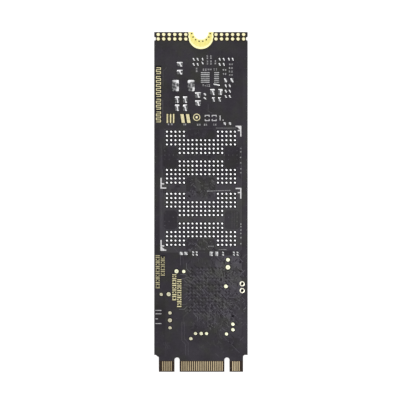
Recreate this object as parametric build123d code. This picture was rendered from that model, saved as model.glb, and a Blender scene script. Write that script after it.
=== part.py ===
from build123d import *
import os

# A gumstick solid state drive: a 22 mm by 80 mm board with a keyed contact tongue at one end and a
# half hole for the fixing screw at the other. Millimetres. X runs across the board, Y along it
# towards the half hole, Z up. The drive lies on its two flash packages at Z = 0, so the bare back
# of the board faces up and the side that carries the components faces down.

# Board outline
BOARD_WIDTH = 22.0
BOARD_LENGTH = 80.0
LAMINATE_THICKNESS = 0.74
MASK_THICKNESS = 0.03
TONGUE_STEP = 1.075
TONGUE_LENGTH = 4.0
LEFT_SHOULDER_FILLET = 0.8
RIGHT_SHOULDER_FILLET = 0.5
TIP_BEVEL_LENGTH = 0.25
TIP_BEVEL_DEPTH = 0.15
KEY_WIDTH = 1.2
KEY_DEPTH = 3.4
B_KEY_X = -5.625
M_KEY_X = 6.125
SIDE_NOTCH_RADIUS = 0.45
SIDE_NOTCH_INSET = 1.55

# Fixing half hole and its plated pad
HOLE_RADIUS = 1.75
PAD_THICKNESS = 0.05
PAD_RADIUS = 2.97
PAD_CENTRE_INSET = 1.03
PAD_OPENING_GAP = 0.13

# Ground dots along the half hole's edge
DOT_RADIUS = 0.41
DOT_HEIGHT = 0.04
DOT_PITCH = 1.30
DOT_START_X = 3.55
DOT_ROW_INSET = 0.57
DOT_ROW_PITCH = 1.05
DOT_SIDE_MARGIN = 0.5

# Edge contacts: the back has the even ones, the component side the odd ones
CONTACT_PITCH = 0.5
CONTACT_WIDTH = 0.35
BACK_CONTACT_LENGTH = 2.25
FRONT_CONTACT_LENGTH = 1.9
CONTACT_SIDE_MARGIN = 0.4
CONTACT_KEY_CLEARANCE = 0.25
MASK_END_GAP = 0.12

# Flash packages, and the lands for two more of them on the back
FLASH_PITCH = 1.0
FLASH_COLUMNS = 17
FLASH_ROWS = 13
FLASH_EDGE = 1.0
FLASH_GAP = 0.62
LOWER_FLASH_Y = -4.07
FLASH_MOULDING_HEIGHT = 0.75
FLASH_SUBSTRATE_HEIGHT = 0.22
FLASH_BALL_HEIGHT = 0.23
FLASH_BALL_SIDE = 0.42
PIN_MARK_RADIUS = 0.5
PIN_MARK_DEPTH = 0.05
PIN_MARK_INSET = 1.3

# Tinned lands on the back
LAND_RADIUS = 0.27
LAND_HEIGHT = 0.06
TEST_POINT_HEIGHT = 0.04
RING_OUTER_RADIUS = 0.68
RING_HOLE_RADIUS = 0.30
RING_HEIGHT = 0.06
RING_SIDE_INSET = 1.30
RING_Y = -20.05
RING_SPACING = 1.60

# White printed corner marks round the two unfitted flash packages
MARK_LINE = 0.28
MARK_HEIGHT = 0.02
MARK_SIDE_CLEARANCE = 0.24
MARK_END_CLEARANCE = 0.12
MARK_ARM_X = 1.35
MARK_ARM_Y = 2.40
MARK_TICK = 0.85
MARK_FILL = 0.95

# Controller
CONTROLLER_X = 1.5
CONTROLLER_Y = -20.6
CONTROLLER_PITCH = 0.8
CONTROLLER_BALLS = 10
CONTROLLER_OUTER_RINGS = 2
CONTROLLER_CENTRE_BALLS = 4
CONTROLLER_EDGE = 1.0
CONTROLLER_MOULDING_HEIGHT = 0.60
CONTROLLER_SUBSTRATE_HEIGHT = 0.20
CONTROLLER_BALL_HEIGHT = 0.20
CONTROLLER_BALL_SIDE = 0.36

# Chip parts, as length, width and height
SMALL_CHIP = (1.0, 0.5, 0.5)
MEDIUM_CHIP = (1.6, 0.8, 0.7)
LARGE_CHIP = (2.0, 1.25, 0.95)
RESISTOR_HEIGHT = 0.35
CHIP_SPACING = 0.70

# Power and support parts on the component side, as length, width and height
POWER_CHIP = (4.0, 4.0, 0.85)
POWER_CHIP_X = 0.8
POWER_CHIP_INSET = 11.0
INDUCTOR = (3.0, 2.5, 1.0)
LOAD_SWITCH = (2.0, 2.0, 0.75)
CRYSTAL = (2.5, 2.0, 0.55)
SETTINGS_MEMORY = (4.0, 3.0, 0.60)
MEMORY_RISE = 3.0
PART_GAP = 0.9

# Worked out from the sizes above
TOP_Y = BOARD_LENGTH / 2
TIP_Y = -BOARD_LENGTH / 2
SIDE_X = BOARD_WIDTH / 2
SHOULDER_Y = TIP_Y + TONGUE_LENGTH
TONGUE_X = SIDE_X - TONGUE_STEP
CONTACT_TIP_Y = TIP_Y + TIP_BEVEL_LENGTH
BACK_CONTACT_TOP_Y = CONTACT_TIP_Y + BACK_CONTACT_LENGTH
MASK_END_Y = BACK_CONTACT_TOP_Y + MASK_END_GAP
FLASH_WIDTH = (FLASH_COLUMNS - 1) * FLASH_PITCH + 2 * FLASH_EDGE
FLASH_LENGTH = (FLASH_ROWS - 1) * FLASH_PITCH + 2 * FLASH_EDGE
UPPER_FLASH_Y = LOWER_FLASH_Y + FLASH_LENGTH + FLASH_GAP
FLASH_TOP_Y = UPPER_FLASH_Y + FLASH_LENGTH / 2
FLASH_BOTTOM_Y = LOWER_FLASH_Y - FLASH_LENGTH / 2
CONTROLLER_SIDE = (CONTROLLER_BALLS - 1) * CONTROLLER_PITCH + 2 * CONTROLLER_EDGE

# Levels, from the table upwards
FRONT_FACE_Z = FLASH_MOULDING_HEIGHT + FLASH_SUBSTRATE_HEIGHT + FLASH_BALL_HEIGHT
FRONT_LAMINATE_Z = FRONT_FACE_Z + MASK_THICKNESS
BACK_LAMINATE_Z = FRONT_LAMINATE_Z + LAMINATE_THICKNESS
BACK_FACE_Z = BACK_LAMINATE_Z + MASK_THICKNESS

# Unfitted parts of the power section: two lands each, measured from the board's middle across and
# down from the half hole's edge. x, drop, distance between the lands, land size across X, along Y
POWER_PAIRS_ALONG_Y = [
    (-1.70, 7.00, 1.20, 0.45, 0.60),
    (-0.75, 7.00, 1.20, 0.45, 0.60),
    (0.40, 6.85, 0.95, 0.40, 0.55),
    (4.42, 7.00, 1.20, 0.45, 0.60),
    (5.40, 7.00, 1.20, 0.45, 0.60),
    (-4.95, 8.50, 1.85, 1.35, 1.05),
    (-0.70, 15.75, 1.90, 1.35, 1.25),
    (0.95, 15.12, 0.95, 0.65, 0.50),
]
POWER_PAIRS_ALONG_X = [
    (7.05, 6.40, 0.90, 0.45, 0.60),
    (-4.15, 12.60, 3.70, 1.60, 2.65),
    (-4.65, 15.90, 1.90, 1.00, 1.50),
    (-4.65, 17.80, 1.90, 1.00, 1.50),
    (6.55, 11.35, 1.50, 0.72, 0.95),
    (6.33, 12.65, 0.95, 0.50, 0.60),
    (6.33, 13.90, 0.95, 0.50, 0.60),
    (6.33, 15.15, 0.95, 0.50, 0.60),
    (3.62, 14.10, 1.85, 1.08, 1.40),
    (3.68, 15.85, 1.45, 0.70, 1.00),
]

# The unfitted regulator: two rows of fine lands either side of its body
REGULATOR_X = 2.58
REGULATOR_DROP = 10.68
REGULATOR_LEADS = 6
REGULATOR_PITCH = 0.45
REGULATOR_LAND = 0.25
REGULATOR_BODY_GAP = 1.08
REGULATOR_LEFT_LENGTH = 2.05
REGULATOR_RIGHT_LENGTH = 1.15
REGULATOR_TAB_WIDTH = 1.45
REGULATOR_TAB_LENGTH = 0.50
REGULATOR_TAB_GAP = 0.20

# Unfitted parts below the flash fields, measured down from the lower flash package's edge
FILTER_PAIRS_ALONG_X = [
    (-4.08, 1.03, 1.05, 0.80, 0.75),
    (3.05, 1.13, 1.30, 0.75, 1.00),
]
FILTER_PAIRS_ALONG_Y = [
    (-1.85, 1.03, 0.60, 0.45, 0.40),
    (-1.00, 1.03, 0.60, 0.45, 0.40),
    (5.20, 1.08, 0.54, 0.45, 0.36),
    (7.75, 1.08, 0.54, 0.45, 0.36),
    (8.60, 1.08, 0.54, 0.45, 0.36),
]

# The unfitted pair just above the flash fields, measured from the upper flash package's edge
EDGE_PAIRS_ALONG_X = [
    (6.22, -0.92, 1.25, 0.58, 0.60),
]

# Gold test points, as x, y and radius
TEST_POINTS = [
    (-5.75, -16.30, 0.55),
    (-4.05, -16.35, 0.45),
    (-9.35, -21.75, 0.42),
    (-7.60, -21.70, 0.55),
    (6.35, -13.60, 0.50),
    (6.35, -15.35, 0.60),
    (5.85, -19.85, 0.50),
    (-7.30, -26.10, 0.45),
    (-7.30, -27.85, 0.55),
    (-7.30, -29.60, 0.42),
    (-1.30, -30.95, 0.42),
    (0.05, -30.95, 0.45),
    (1.30, -30.95, 0.42),
    (-2.40, -32.15, 0.45),
    (7.50, -28.75, 0.45),
    (7.50, -30.05, 0.45),
    (6.00, -31.05, 0.42),
]

RING_PLACES = [
    (SIDE_X - RING_SIDE_INSET, RING_Y + RING_SPACING / 2),
    (SIDE_X - RING_SIDE_INSET, RING_Y - RING_SPACING / 2),
]


# Shapes that repeat

def raised(plan, bottom, height):
    """The plan, as a plate of that height standing on the level given."""
    return Pos(0, 0, bottom) * extrude(plan, amount=height)


def rectangles(places):
    """One sketch of separate rectangles, from their x, y, width and length."""
    return Sketch() + [Pos(x, y) * Rectangle(width, length) for x, y, width, length in places]


def polygons(places, sides):
    """One sketch of separate regular polygons, from their x, y and radius."""
    return Sketch() + [Pos(x, y) * RegularPolygon(radius, sides) for x, y, radius in places]


def ring_holes():
    """The plan of the two small plated holes, eight-sided."""
    return polygons([(x, y, RING_HOLE_RADIUS) for x, y in RING_PLACES], 8)


def below_board(places, height):
    """Box parts soldered to the component side, from their x, y, length across X and along Y."""
    return raised(rectangles(places), FRONT_FACE_Z - height, height)


def pair_lands(pairs, from_y, along_x):
    """The two lands of each chip part, as x, y, width and length."""
    places = []
    for x, drop, spacing, width, length in pairs:
        for side in (-1, 1):
            shift = side * spacing / 2
            if along_x:
                places.append((x + shift, from_y - drop, width, length))
            else:
                places.append((x, from_y - drop + shift, width, length))
    return places


# Board

def half_hole():
    """The plan of the fixing hole, whose other half lies past the board's edge."""
    return Pos(0, TOP_Y) * Circle(HOLE_RADIUS)


def key_slot(x):
    """The plan of one key slot: open at the tip, with a round end."""
    end_y = TIP_Y + KEY_DEPTH - KEY_WIDTH / 2
    slot = Pos(x, (TIP_Y + end_y) / 2) * Rectangle(KEY_WIDTH, end_y - TIP_Y)
    return slot + Pos(x, end_y) * Circle(KEY_WIDTH / 2)


def board_plan():
    """The board's outline with its slots and side notches, and the half hole."""
    body = Pos(0, (TOP_Y + SHOULDER_Y) / 2) * Rectangle(BOARD_WIDTH, TOP_Y - SHOULDER_Y)
    tongue = Pos(0, (TIP_Y + SHOULDER_Y) / 2) * Rectangle(2 * TONGUE_X, TONGUE_LENGTH)
    plan = body + tongue
    shoulders = plan.vertices().filter_by_position(Axis.Y, SHOULDER_Y - 0.01, SHOULDER_Y + 0.01)
    left_shoulder, right_shoulder = shoulders.sort_by(Axis.X)[1:3]
    plan = fillet(left_shoulder, LEFT_SHOULDER_FILLET)
    plan = fillet(plan.vertices().sort_by_distance(right_shoulder)[0], RIGHT_SHOULDER_FILLET)
    notch_y = TOP_Y - SIDE_NOTCH_INSET
    notches = [Pos(side * SIDE_X, notch_y) * Circle(SIDE_NOTCH_RADIUS) for side in (-1, 1)]
    slots = [key_slot(B_KEY_X), key_slot(M_KEY_X)]
    return plan - slots - notches - half_hole()


def pad_plan(radius):
    """A U round the half hole: a round bottom and straight sides up to the board's edge."""
    centre_y = TOP_Y - PAD_CENTRE_INSET
    straight = Pos(0, (TOP_Y + centre_y) / 2) * Rectangle(2 * radius, PAD_CENTRE_INSET)
    return straight + Pos(0, centre_y) * Circle(radius)


def mask_film(bottom):
    """A solder mask film, open round the mounting pad and short of the contacts."""
    covered = Pos(0, (TOP_Y + MASK_END_Y) / 2) * Rectangle(BOARD_WIDTH, TOP_Y - MASK_END_Y)
    film = (board_plan() & covered) - pad_plan(PAD_RADIUS + PAD_OPENING_GAP)
    return raised(film, bottom, MASK_THICKNESS)


def laminate():
    """The bare laminate, with its contact tip bevelled on both faces."""
    plate = raised(board_plan(), FRONT_LAMINATE_Z, LAMINATE_THICKNESS)
    half = LAMINATE_THICKNESS / 2
    side_view = Polyline(
        (TOP_Y, half),
        (CONTACT_TIP_Y, half),
        (TIP_Y, half - TIP_BEVEL_DEPTH),
        (TIP_Y, TIP_BEVEL_DEPTH - half),
        (CONTACT_TIP_Y, -half),
        (TOP_Y, -half),
        close=True,
    )
    middle = Pos(-SIDE_X, 0, FRONT_LAMINATE_Z + half)
    bevelled = middle * extrude(Plane.YZ * make_face(side_view), amount=BOARD_WIDTH)
    return plate & bevelled


def circuit_board():
    """The laminate between its two solder mask films, which leave the contacts and the pad bare.
    The component side's film closes the two ringed holes, which are open on the back only."""
    well_depth = BACK_FACE_Z - FRONT_LAMINATE_Z
    wells = raised(ring_holes(), FRONT_LAMINATE_Z, well_depth)
    return laminate() + mask_film(BACK_LAMINATE_Z) - wells + mask_film(FRONT_FACE_Z)


def mounting_pad():
    """The gold pad round the half hole, on both faces of the laminate."""
    within_board = Rectangle(BOARD_WIDTH, BOARD_LENGTH)
    face = (pad_plan(PAD_RADIUS) & within_board) - half_hole()
    upper = raised(face, BACK_LAMINATE_Z, PAD_THICKNESS)
    lower = raised(face, FRONT_LAMINATE_Z - PAD_THICKNESS, PAD_THICKNESS)
    return Part() + [upper, lower]


def ground_dots():
    """Two rows of gold dots each side of the mounting pad, as many as the edge has room for."""
    places = []
    x = DOT_START_X
    while x + DOT_RADIUS + DOT_SIDE_MARGIN <= SIDE_X:
        for row in range(2):
            y = TOP_Y - DOT_ROW_INSET - row * DOT_ROW_PITCH
            places += [(-x, y, DOT_RADIUS), (x, y, DOT_RADIUS)]
        x += DOT_PITCH
    return raised(polygons(places, 6), BACK_FACE_Z, DOT_HEIGHT)


# Edge contacts

def contact_places(first_x, length):
    """A row of contacts, left out where a key slot or the tongue's side is too near."""
    y = CONTACT_TIP_Y + length / 2
    limit = TONGUE_X - CONTACT_SIDE_MARGIN - CONTACT_WIDTH / 2
    key_room = KEY_WIDTH / 2 + CONTACT_KEY_CLEARANCE + CONTACT_WIDTH / 2
    each_way = int(TONGUE_X / CONTACT_PITCH)
    across = [first_x + step * CONTACT_PITCH for step in range(-each_way, each_way + 1)]
    return [
        (x, y, CONTACT_WIDTH, length)
        for x in across
        if abs(x) <= limit and abs(x - B_KEY_X) >= key_room and abs(x - M_KEY_X) >= key_room
    ]


def edge_contacts_back():
    """The even contacts, on the bare back."""
    plan = rectangles(contact_places(0, BACK_CONTACT_LENGTH))
    return raised(plan, BACK_LAMINATE_Z, MASK_THICKNESS)


def edge_contacts_front():
    """The odd contacts, half a pitch along, on the component side."""
    plan = rectangles(contact_places(CONTACT_PITCH / 2, FRONT_CONTACT_LENGTH))
    return raised(plan, FRONT_FACE_Z, MASK_THICKNESS)


# Lands on the back

def flash_grid(centre_y):
    """The 152 places of a flash package's balls: a grid with an empty middle row, whose outer rows
    are split in two, whose next rows are full and whose inner rows are short."""
    places = []
    middle_column = FLASH_COLUMNS // 2
    middle_row = FLASH_ROWS // 2
    for row in range(-middle_row, middle_row + 1):
        ring = abs(row)
        for column in range(-middle_column, middle_column + 1):
            outside = abs(column) > middle_column - 5
            inside = abs(column) <= 5
            if ring == 0 or (ring <= 2 and not inside) or (ring >= 5 and not outside):
                continue
            places.append((column * FLASH_PITCH, centre_y + row * FLASH_PITCH))
    return places


def flash_lands(centre_y):
    """The tinned lands of an unfitted flash package, six-sided to keep the field light."""
    places = [(x, y, LAND_RADIUS) for x, y in flash_grid(centre_y)]
    return raised(polygons(places, 6), BACK_FACE_Z, LAND_HEIGHT)


def power_lands():
    """The lands of the unfitted chip parts, diode and inductor near the half hole."""
    places = pair_lands(POWER_PAIRS_ALONG_Y, TOP_Y, along_x=False)
    places += pair_lands(POWER_PAIRS_ALONG_X, TOP_Y, along_x=True)
    return raised(rectangles(places), BACK_FACE_Z, LAND_HEIGHT)


def regulator_lands():
    """The fine lands of the unfitted regulator, longer on its left, and the tab below the right
    row."""
    places = []
    top = TOP_Y - REGULATOR_DROP + (REGULATOR_LEADS - 1) / 2 * REGULATOR_PITCH
    for lead in range(REGULATOR_LEADS):
        y = top - lead * REGULATOR_PITCH
        left_x = REGULATOR_X - (REGULATOR_BODY_GAP + REGULATOR_LEFT_LENGTH) / 2
        right_x = REGULATOR_X + (REGULATOR_BODY_GAP + REGULATOR_RIGHT_LENGTH) / 2
        places.append((left_x, y, REGULATOR_LEFT_LENGTH, REGULATOR_LAND))
        places.append((right_x, y, REGULATOR_RIGHT_LENGTH, REGULATOR_LAND))
    tab_y = y - (REGULATOR_LAND + REGULATOR_TAB_LENGTH) / 2 - REGULATOR_TAB_GAP
    places.append((right_x, tab_y, REGULATOR_TAB_WIDTH, REGULATOR_TAB_LENGTH))
    return raised(rectangles(places), BACK_FACE_Z, LAND_HEIGHT)


def filter_lands():
    """The lands of the unfitted chip parts just above and just below the flash fields."""
    places = pair_lands(EDGE_PAIRS_ALONG_X, FLASH_TOP_Y, along_x=True)
    places += pair_lands(FILTER_PAIRS_ALONG_X, FLASH_BOTTOM_Y, along_x=True)
    places += pair_lands(FILTER_PAIRS_ALONG_Y, FLASH_BOTTOM_Y, along_x=False)
    return raised(rectangles(places), BACK_FACE_Z, LAND_HEIGHT)


def test_points():
    """The gold test points of the controller."""
    return raised(polygons(TEST_POINTS, 8), BACK_FACE_Z, TEST_POINT_HEIGHT)


def ringed_holes():
    """The raised ring round each of the two plated holes, on the back."""
    rings = polygons([(x, y, RING_OUTER_RADIUS) for x, y in RING_PLACES], 12)
    return raised(rings - ring_holes(), BACK_FACE_Z, RING_HEIGHT)


def corner_mark(centre_y, side, filled):
    """Two printed arms and a tick outside one corner of a flash package: side is 1 for the top
    right corner and -1 for the bottom left one. The inside of a filled corner is printed too."""
    x = side * (FLASH_WIDTH / 2 + MARK_SIDE_CLEARANCE + MARK_LINE / 2)
    y = centre_y + side * (FLASH_LENGTH / 2 + MARK_END_CLEARANCE + MARK_LINE / 2)
    outer_x = x + side * MARK_LINE / 2
    arm = Pos(outer_x - side * MARK_ARM_X / 2, y) * Rectangle(MARK_ARM_X, MARK_LINE)
    upright = Pos(x, y - side * MARK_ARM_Y / 2) * Rectangle(MARK_LINE, MARK_ARM_Y)
    tick_y = centre_y + side * (FLASH_ROWS - 1) / 2 * FLASH_PITCH + side * MARK_LINE
    tick = Pos(outer_x - side * MARK_TICK / 2, tick_y) * Rectangle(MARK_TICK, MARK_LINE)
    mark = arm + upright + tick
    if filled:
        inner_x, inner_y = x - side * MARK_FILL, y - side * MARK_FILL
        mark += make_face(Polyline((x, y), (inner_x, y), (x, inner_y), close=True))
    return mark


def corner_marks():
    """The white corner marks of both unfitted flash packages, filled at their outer ends."""
    marks = [
        corner_mark(centre_y, side, filled=side == outer_side)
        for centre_y, outer_side in ((UPPER_FLASH_Y, 1), (LOWER_FLASH_Y, -1))
        for side in (-1, 1)
    ]
    return raised(Sketch() + marks, BACK_FACE_Z, MARK_HEIGHT)


# Packages on the component side

def moulding(x, y, width, length, bottom, height):
    """A package's moulded block, with the dimple that marks its first ball."""
    block = Pos(x, y, bottom + height / 2) * Box(width, length, height)
    mark_x = x - width / 2 + PIN_MARK_INSET
    mark_y = y + length / 2 - PIN_MARK_INSET
    dimple = raised(polygons([(mark_x, mark_y, PIN_MARK_RADIUS)], 8), bottom, PIN_MARK_DEPTH)
    return block - dimple


def substrate(x, y, width, length, bottom, height):
    """The thin laminate that carries a package's balls."""
    return Pos(x, y, bottom + height / 2) * Box(width, length, height)


def ball_field(places, side, height):
    """A package's solder balls, as square posts between its substrate and the board."""
    return below_board([(x, y, side, side) for x, y in places], height)


def flash_moulding(centre_y):
    """The moulded top of a flash package, which the drive lies on."""
    return moulding(0, centre_y, FLASH_WIDTH, FLASH_LENGTH, 0, FLASH_MOULDING_HEIGHT)


def flash_substrate(centre_y):
    """A flash package's substrate, flush with its moulding."""
    bottom = FLASH_MOULDING_HEIGHT
    return substrate(0, centre_y, FLASH_WIDTH, FLASH_LENGTH, bottom, FLASH_SUBSTRATE_HEIGHT)


def flash_balls(centre_y):
    """A flash package's balls, opposite the lands on the back."""
    return ball_field(flash_grid(centre_y), FLASH_BALL_SIDE, FLASH_BALL_HEIGHT)


def controller_grid():
    """The places of the controller's balls: outer rings round a small centre field."""
    reach = (CONTROLLER_BALLS - 1) / 2
    places = []
    for column in range(CONTROLLER_BALLS):
        for row in range(CONTROLLER_BALLS):
            distance = max(abs(column - reach), abs(row - reach))
            outer = distance > reach - CONTROLLER_OUTER_RINGS
            if not outer and distance > CONTROLLER_CENTRE_BALLS / 2:
                continue
            x = CONTROLLER_X + (column - reach) * CONTROLLER_PITCH
            y = CONTROLLER_Y + (row - reach) * CONTROLLER_PITCH
            places.append((x, y))
    return places


def controller_moulding():
    """The controller's moulded block, which stops short of the table."""
    substrate_bottom = FRONT_FACE_Z - CONTROLLER_BALL_HEIGHT - CONTROLLER_SUBSTRATE_HEIGHT
    bottom = substrate_bottom - CONTROLLER_MOULDING_HEIGHT
    side = CONTROLLER_SIDE
    return moulding(CONTROLLER_X, CONTROLLER_Y, side, side, bottom, CONTROLLER_MOULDING_HEIGHT)


def controller_substrate():
    """The controller's substrate."""
    bottom = FRONT_FACE_Z - CONTROLLER_BALL_HEIGHT - CONTROLLER_SUBSTRATE_HEIGHT
    side = CONTROLLER_SIDE
    return substrate(CONTROLLER_X, CONTROLLER_Y, side, side, bottom, CONTROLLER_SUBSTRATE_HEIGHT)


def controller_balls():
    """The controller's solder balls."""
    return ball_field(controller_grid(), CONTROLLER_BALL_SIDE, CONTROLLER_BALL_HEIGHT)


# Power and support parts on the component side

POWER_CHIP_Y = TOP_Y - POWER_CHIP_INSET
INDUCTOR_X = POWER_CHIP_X - (POWER_CHIP[0] + INDUCTOR[0]) / 2 - PART_GAP
INDUCTOR_Y = (INDUCTOR[1] + PART_GAP) / 2
RIGHT_INDUCTOR_X = POWER_CHIP_X + (POWER_CHIP[0] + INDUCTOR[0]) / 2 + PART_GAP
LEFT_BULK_X = INDUCTOR_X - (INDUCTOR[0] + LARGE_CHIP[1]) / 2 - PART_GAP
RIGHT_BULK_X = RIGHT_INDUCTOR_X + (INDUCTOR[0] + LARGE_CHIP[1]) / 2 + PART_GAP
BULK_ROW_Y = POWER_CHIP_Y - (POWER_CHIP[1] + LARGE_CHIP[0]) / 2 - PART_GAP
POWER_ROW_Y = POWER_CHIP_Y + (POWER_CHIP[1] + SMALL_CHIP[0]) / 2 + PART_GAP / 2
CHIP_STEP = SMALL_CHIP[1] + CHIP_SPACING
FLASH_ROW_Y = FLASH_TOP_Y + PART_GAP + SMALL_CHIP[0] / 2
LOWER_ROW_Y = FLASH_BOTTOM_Y - PART_GAP - SMALL_CHIP[0] / 2
CONTROLLER_ROW_X = (CONTROLLER_SIDE + SMALL_CHIP[0]) / 2 + PART_GAP / 2
RESISTOR_X = -SIDE_X + SMALL_CHIP[0] / 2 + PART_GAP
RESISTOR_Y = CONTROLLER_Y + 2 * PART_GAP
MEMORY_X = -SIDE_X + SETTINGS_MEMORY[0] / 2 + PART_GAP
MEMORY_Y = SHOULDER_Y + SETTINGS_MEMORY[1] / 2 + MEMORY_RISE
CRYSTAL_Y = MEMORY_Y + (SETTINGS_MEMORY[1] + CRYSTAL[1]) / 2 + PART_GAP
COUPLING_ROW_Y = SHOULDER_Y + SMALL_CHIP[0] / 2 + PART_GAP
SWITCH_X = SIDE_X - LOAD_SWITCH[0] / 2 - PART_GAP
FUSE_Y = SHOULDER_Y + MEDIUM_CHIP[0] / 2 + PART_GAP
SWITCH_Y = FUSE_Y + (MEDIUM_CHIP[0] + LOAD_SWITCH[1]) / 2 + PART_GAP


def row_of_chips(count, centre_x, y, step):
    """The places of small chip parts side by side, each lying along Y."""
    start = centre_x - (count - 1) / 2 * step
    return [(start + place * step, y, SMALL_CHIP[1], SMALL_CHIP[0]) for place in range(count)]


def column_of_chips(count, x, centre_y, step):
    """The places of small chip parts one above the other, each lying along X."""
    start = centre_y - (count - 1) / 2 * step
    return [(x, start + place * step, SMALL_CHIP[0], SMALL_CHIP[1]) for place in range(count)]


def power_chip():
    """The chip that makes the drive's supply voltages."""
    return below_board([(POWER_CHIP_X, POWER_CHIP_Y, POWER_CHIP[0], POWER_CHIP[1])], POWER_CHIP[2])


def power_inductors():
    """Two inductors left of the power chip and one right of it."""
    places = [
        (INDUCTOR_X, POWER_CHIP_Y + INDUCTOR_Y, INDUCTOR[0], INDUCTOR[1]),
        (INDUCTOR_X, POWER_CHIP_Y - INDUCTOR_Y, INDUCTOR[0], INDUCTOR[1]),
        (RIGHT_INDUCTOR_X, POWER_CHIP_Y, INDUCTOR[0], INDUCTOR[1]),
    ]
    return below_board(places, INDUCTOR[2])


def bulk_capacitors():
    """Large capacitors outside the inductors and below the power chip."""
    length, width, height = LARGE_CHIP
    places = [
        (LEFT_BULK_X, POWER_CHIP_Y + INDUCTOR_Y, width, length),
        (LEFT_BULK_X, POWER_CHIP_Y - INDUCTOR_Y, width, length),
        (RIGHT_BULK_X, POWER_CHIP_Y, width, length),
        (POWER_CHIP_X - width, BULK_ROW_Y, width, length),
        (POWER_CHIP_X + width, BULK_ROW_Y, width, length),
    ]
    return below_board(places, height)


def decoupling_capacitors():
    """Small capacitors in rows beside the flash packages and columns beside the controller."""
    places = row_of_chips(11, 0, FLASH_ROW_Y, CHIP_STEP)
    places += row_of_chips(11, 0, LOWER_ROW_Y, CHIP_STEP)
    for side in (-1, 1):
        x = CONTROLLER_X + side * CONTROLLER_ROW_X
        places += column_of_chips(6, x, CONTROLLER_Y, CHIP_STEP)
    return below_board(places, SMALL_CHIP[2])


def resistors():
    """Small resistors above the power chip and along the board's left side."""
    places = row_of_chips(5, POWER_CHIP_X, POWER_ROW_Y, CHIP_STEP)
    places += column_of_chips(6, RESISTOR_X, RESISTOR_Y, CHIP_STEP)
    return below_board(places, RESISTOR_HEIGHT)


def coupling_capacitors():
    """Four capacitors in the data lines, just above the contacts."""
    return below_board(row_of_chips(4, CONTROLLER_X, COUPLING_ROW_Y, CHIP_STEP), SMALL_CHIP[2])


def settings_memory():
    """The small serial memory below and left of the controller."""
    length, width, height = SETTINGS_MEMORY
    return below_board([(MEMORY_X, MEMORY_Y, length, width)], height)


def crystal():
    """The controller's crystal, above the settings memory."""
    length, width, height = CRYSTAL
    return below_board([(MEMORY_X, CRYSTAL_Y, length, width)], height)


def load_switch():
    """The switch in the supply, near the power contacts."""
    length, width, height = LOAD_SWITCH
    return below_board([(SWITCH_X, SWITCH_Y, length, width)], height)


def input_fuse():
    """The fuse in the supply, next to the power contacts."""
    length, width, height = MEDIUM_CHIP
    return below_board([(SWITCH_X, FUSE_Y, width, length)], height)


PARTS = {
    "circuit_board": circuit_board(),
    "mounting_pad": mounting_pad(),
    "ground_dots": ground_dots(),
    "edge_contacts_back": edge_contacts_back(),
    "edge_contacts_front": edge_contacts_front(),
    "flash_lands_upper": flash_lands(UPPER_FLASH_Y),
    "flash_lands_lower": flash_lands(LOWER_FLASH_Y),
    "power_lands": power_lands(),
    "regulator_lands": regulator_lands(),
    "filter_lands": filter_lands(),
    "test_points": test_points(),
    "ringed_holes": ringed_holes(),
    "corner_marks": corner_marks(),
    "flash_moulding_upper": flash_moulding(UPPER_FLASH_Y),
    "flash_moulding_lower": flash_moulding(LOWER_FLASH_Y),
    "flash_substrate_upper": flash_substrate(UPPER_FLASH_Y),
    "flash_substrate_lower": flash_substrate(LOWER_FLASH_Y),
    "flash_balls_upper": flash_balls(UPPER_FLASH_Y),
    "flash_balls_lower": flash_balls(LOWER_FLASH_Y),
    "controller_moulding": controller_moulding(),
    "controller_substrate": controller_substrate(),
    "controller_balls": controller_balls(),
    "power_chip": power_chip(),
    "power_inductors": power_inductors(),
    "load_switch": load_switch(),
    "input_fuse": input_fuse(),
    "crystal": crystal(),
    "settings_memory": settings_memory(),
    "bulk_capacitors": bulk_capacitors(),
    "decoupling_capacitors": decoupling_capacitors(),
    "coupling_capacitors": coupling_capacitors(),
    "resistors": resistors(),
}

os.makedirs("parts", exist_ok=True)
for name, part in PARTS.items():
    export_step(part, f"parts/{name}.step")
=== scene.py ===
import math
import random

import bmesh
import bpy
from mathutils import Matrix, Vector


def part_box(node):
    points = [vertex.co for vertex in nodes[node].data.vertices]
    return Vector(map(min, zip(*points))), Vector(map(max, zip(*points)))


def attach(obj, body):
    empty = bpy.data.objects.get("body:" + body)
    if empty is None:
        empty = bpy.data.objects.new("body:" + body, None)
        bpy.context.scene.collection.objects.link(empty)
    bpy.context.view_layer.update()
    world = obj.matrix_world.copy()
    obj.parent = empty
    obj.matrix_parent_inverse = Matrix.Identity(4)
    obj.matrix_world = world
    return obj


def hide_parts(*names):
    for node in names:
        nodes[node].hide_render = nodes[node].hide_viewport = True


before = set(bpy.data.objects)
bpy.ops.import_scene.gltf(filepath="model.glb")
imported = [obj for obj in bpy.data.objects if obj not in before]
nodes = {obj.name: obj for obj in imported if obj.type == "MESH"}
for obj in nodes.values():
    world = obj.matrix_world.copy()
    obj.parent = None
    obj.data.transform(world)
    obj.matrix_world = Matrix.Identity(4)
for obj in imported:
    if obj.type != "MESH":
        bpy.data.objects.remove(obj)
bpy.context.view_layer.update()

# Sizes are in metres. MM turns a size in millimetres into metres.
MM = 0.001

# Levels and edges of the board and of the screw pad
BOARD_LOW, BOARD_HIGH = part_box("circuit_board")
FRONT_Z = BOARD_LOW.z
BACK_Z = BOARD_HIGH.z
TOP_Y = BOARD_HIGH.y
TIP_Y = BOARD_LOW.y
SIDE_X = BOARD_HIGH.x
LAMINATE_BACK_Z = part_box("edge_contacts_back")[0].z
LAMINATE_FRONT_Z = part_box("edge_contacts_front")[1].z
FILM = BACK_Z - LAMINATE_BACK_Z
PAD_LOW, PAD_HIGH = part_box("mounting_pad")
PAD_RADIUS = PAD_HIGH.x
PAD_RISE = PAD_HIGH.z - LAMINATE_BACK_Z
HOLE_RADIUS = 1.75 * MM

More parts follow.
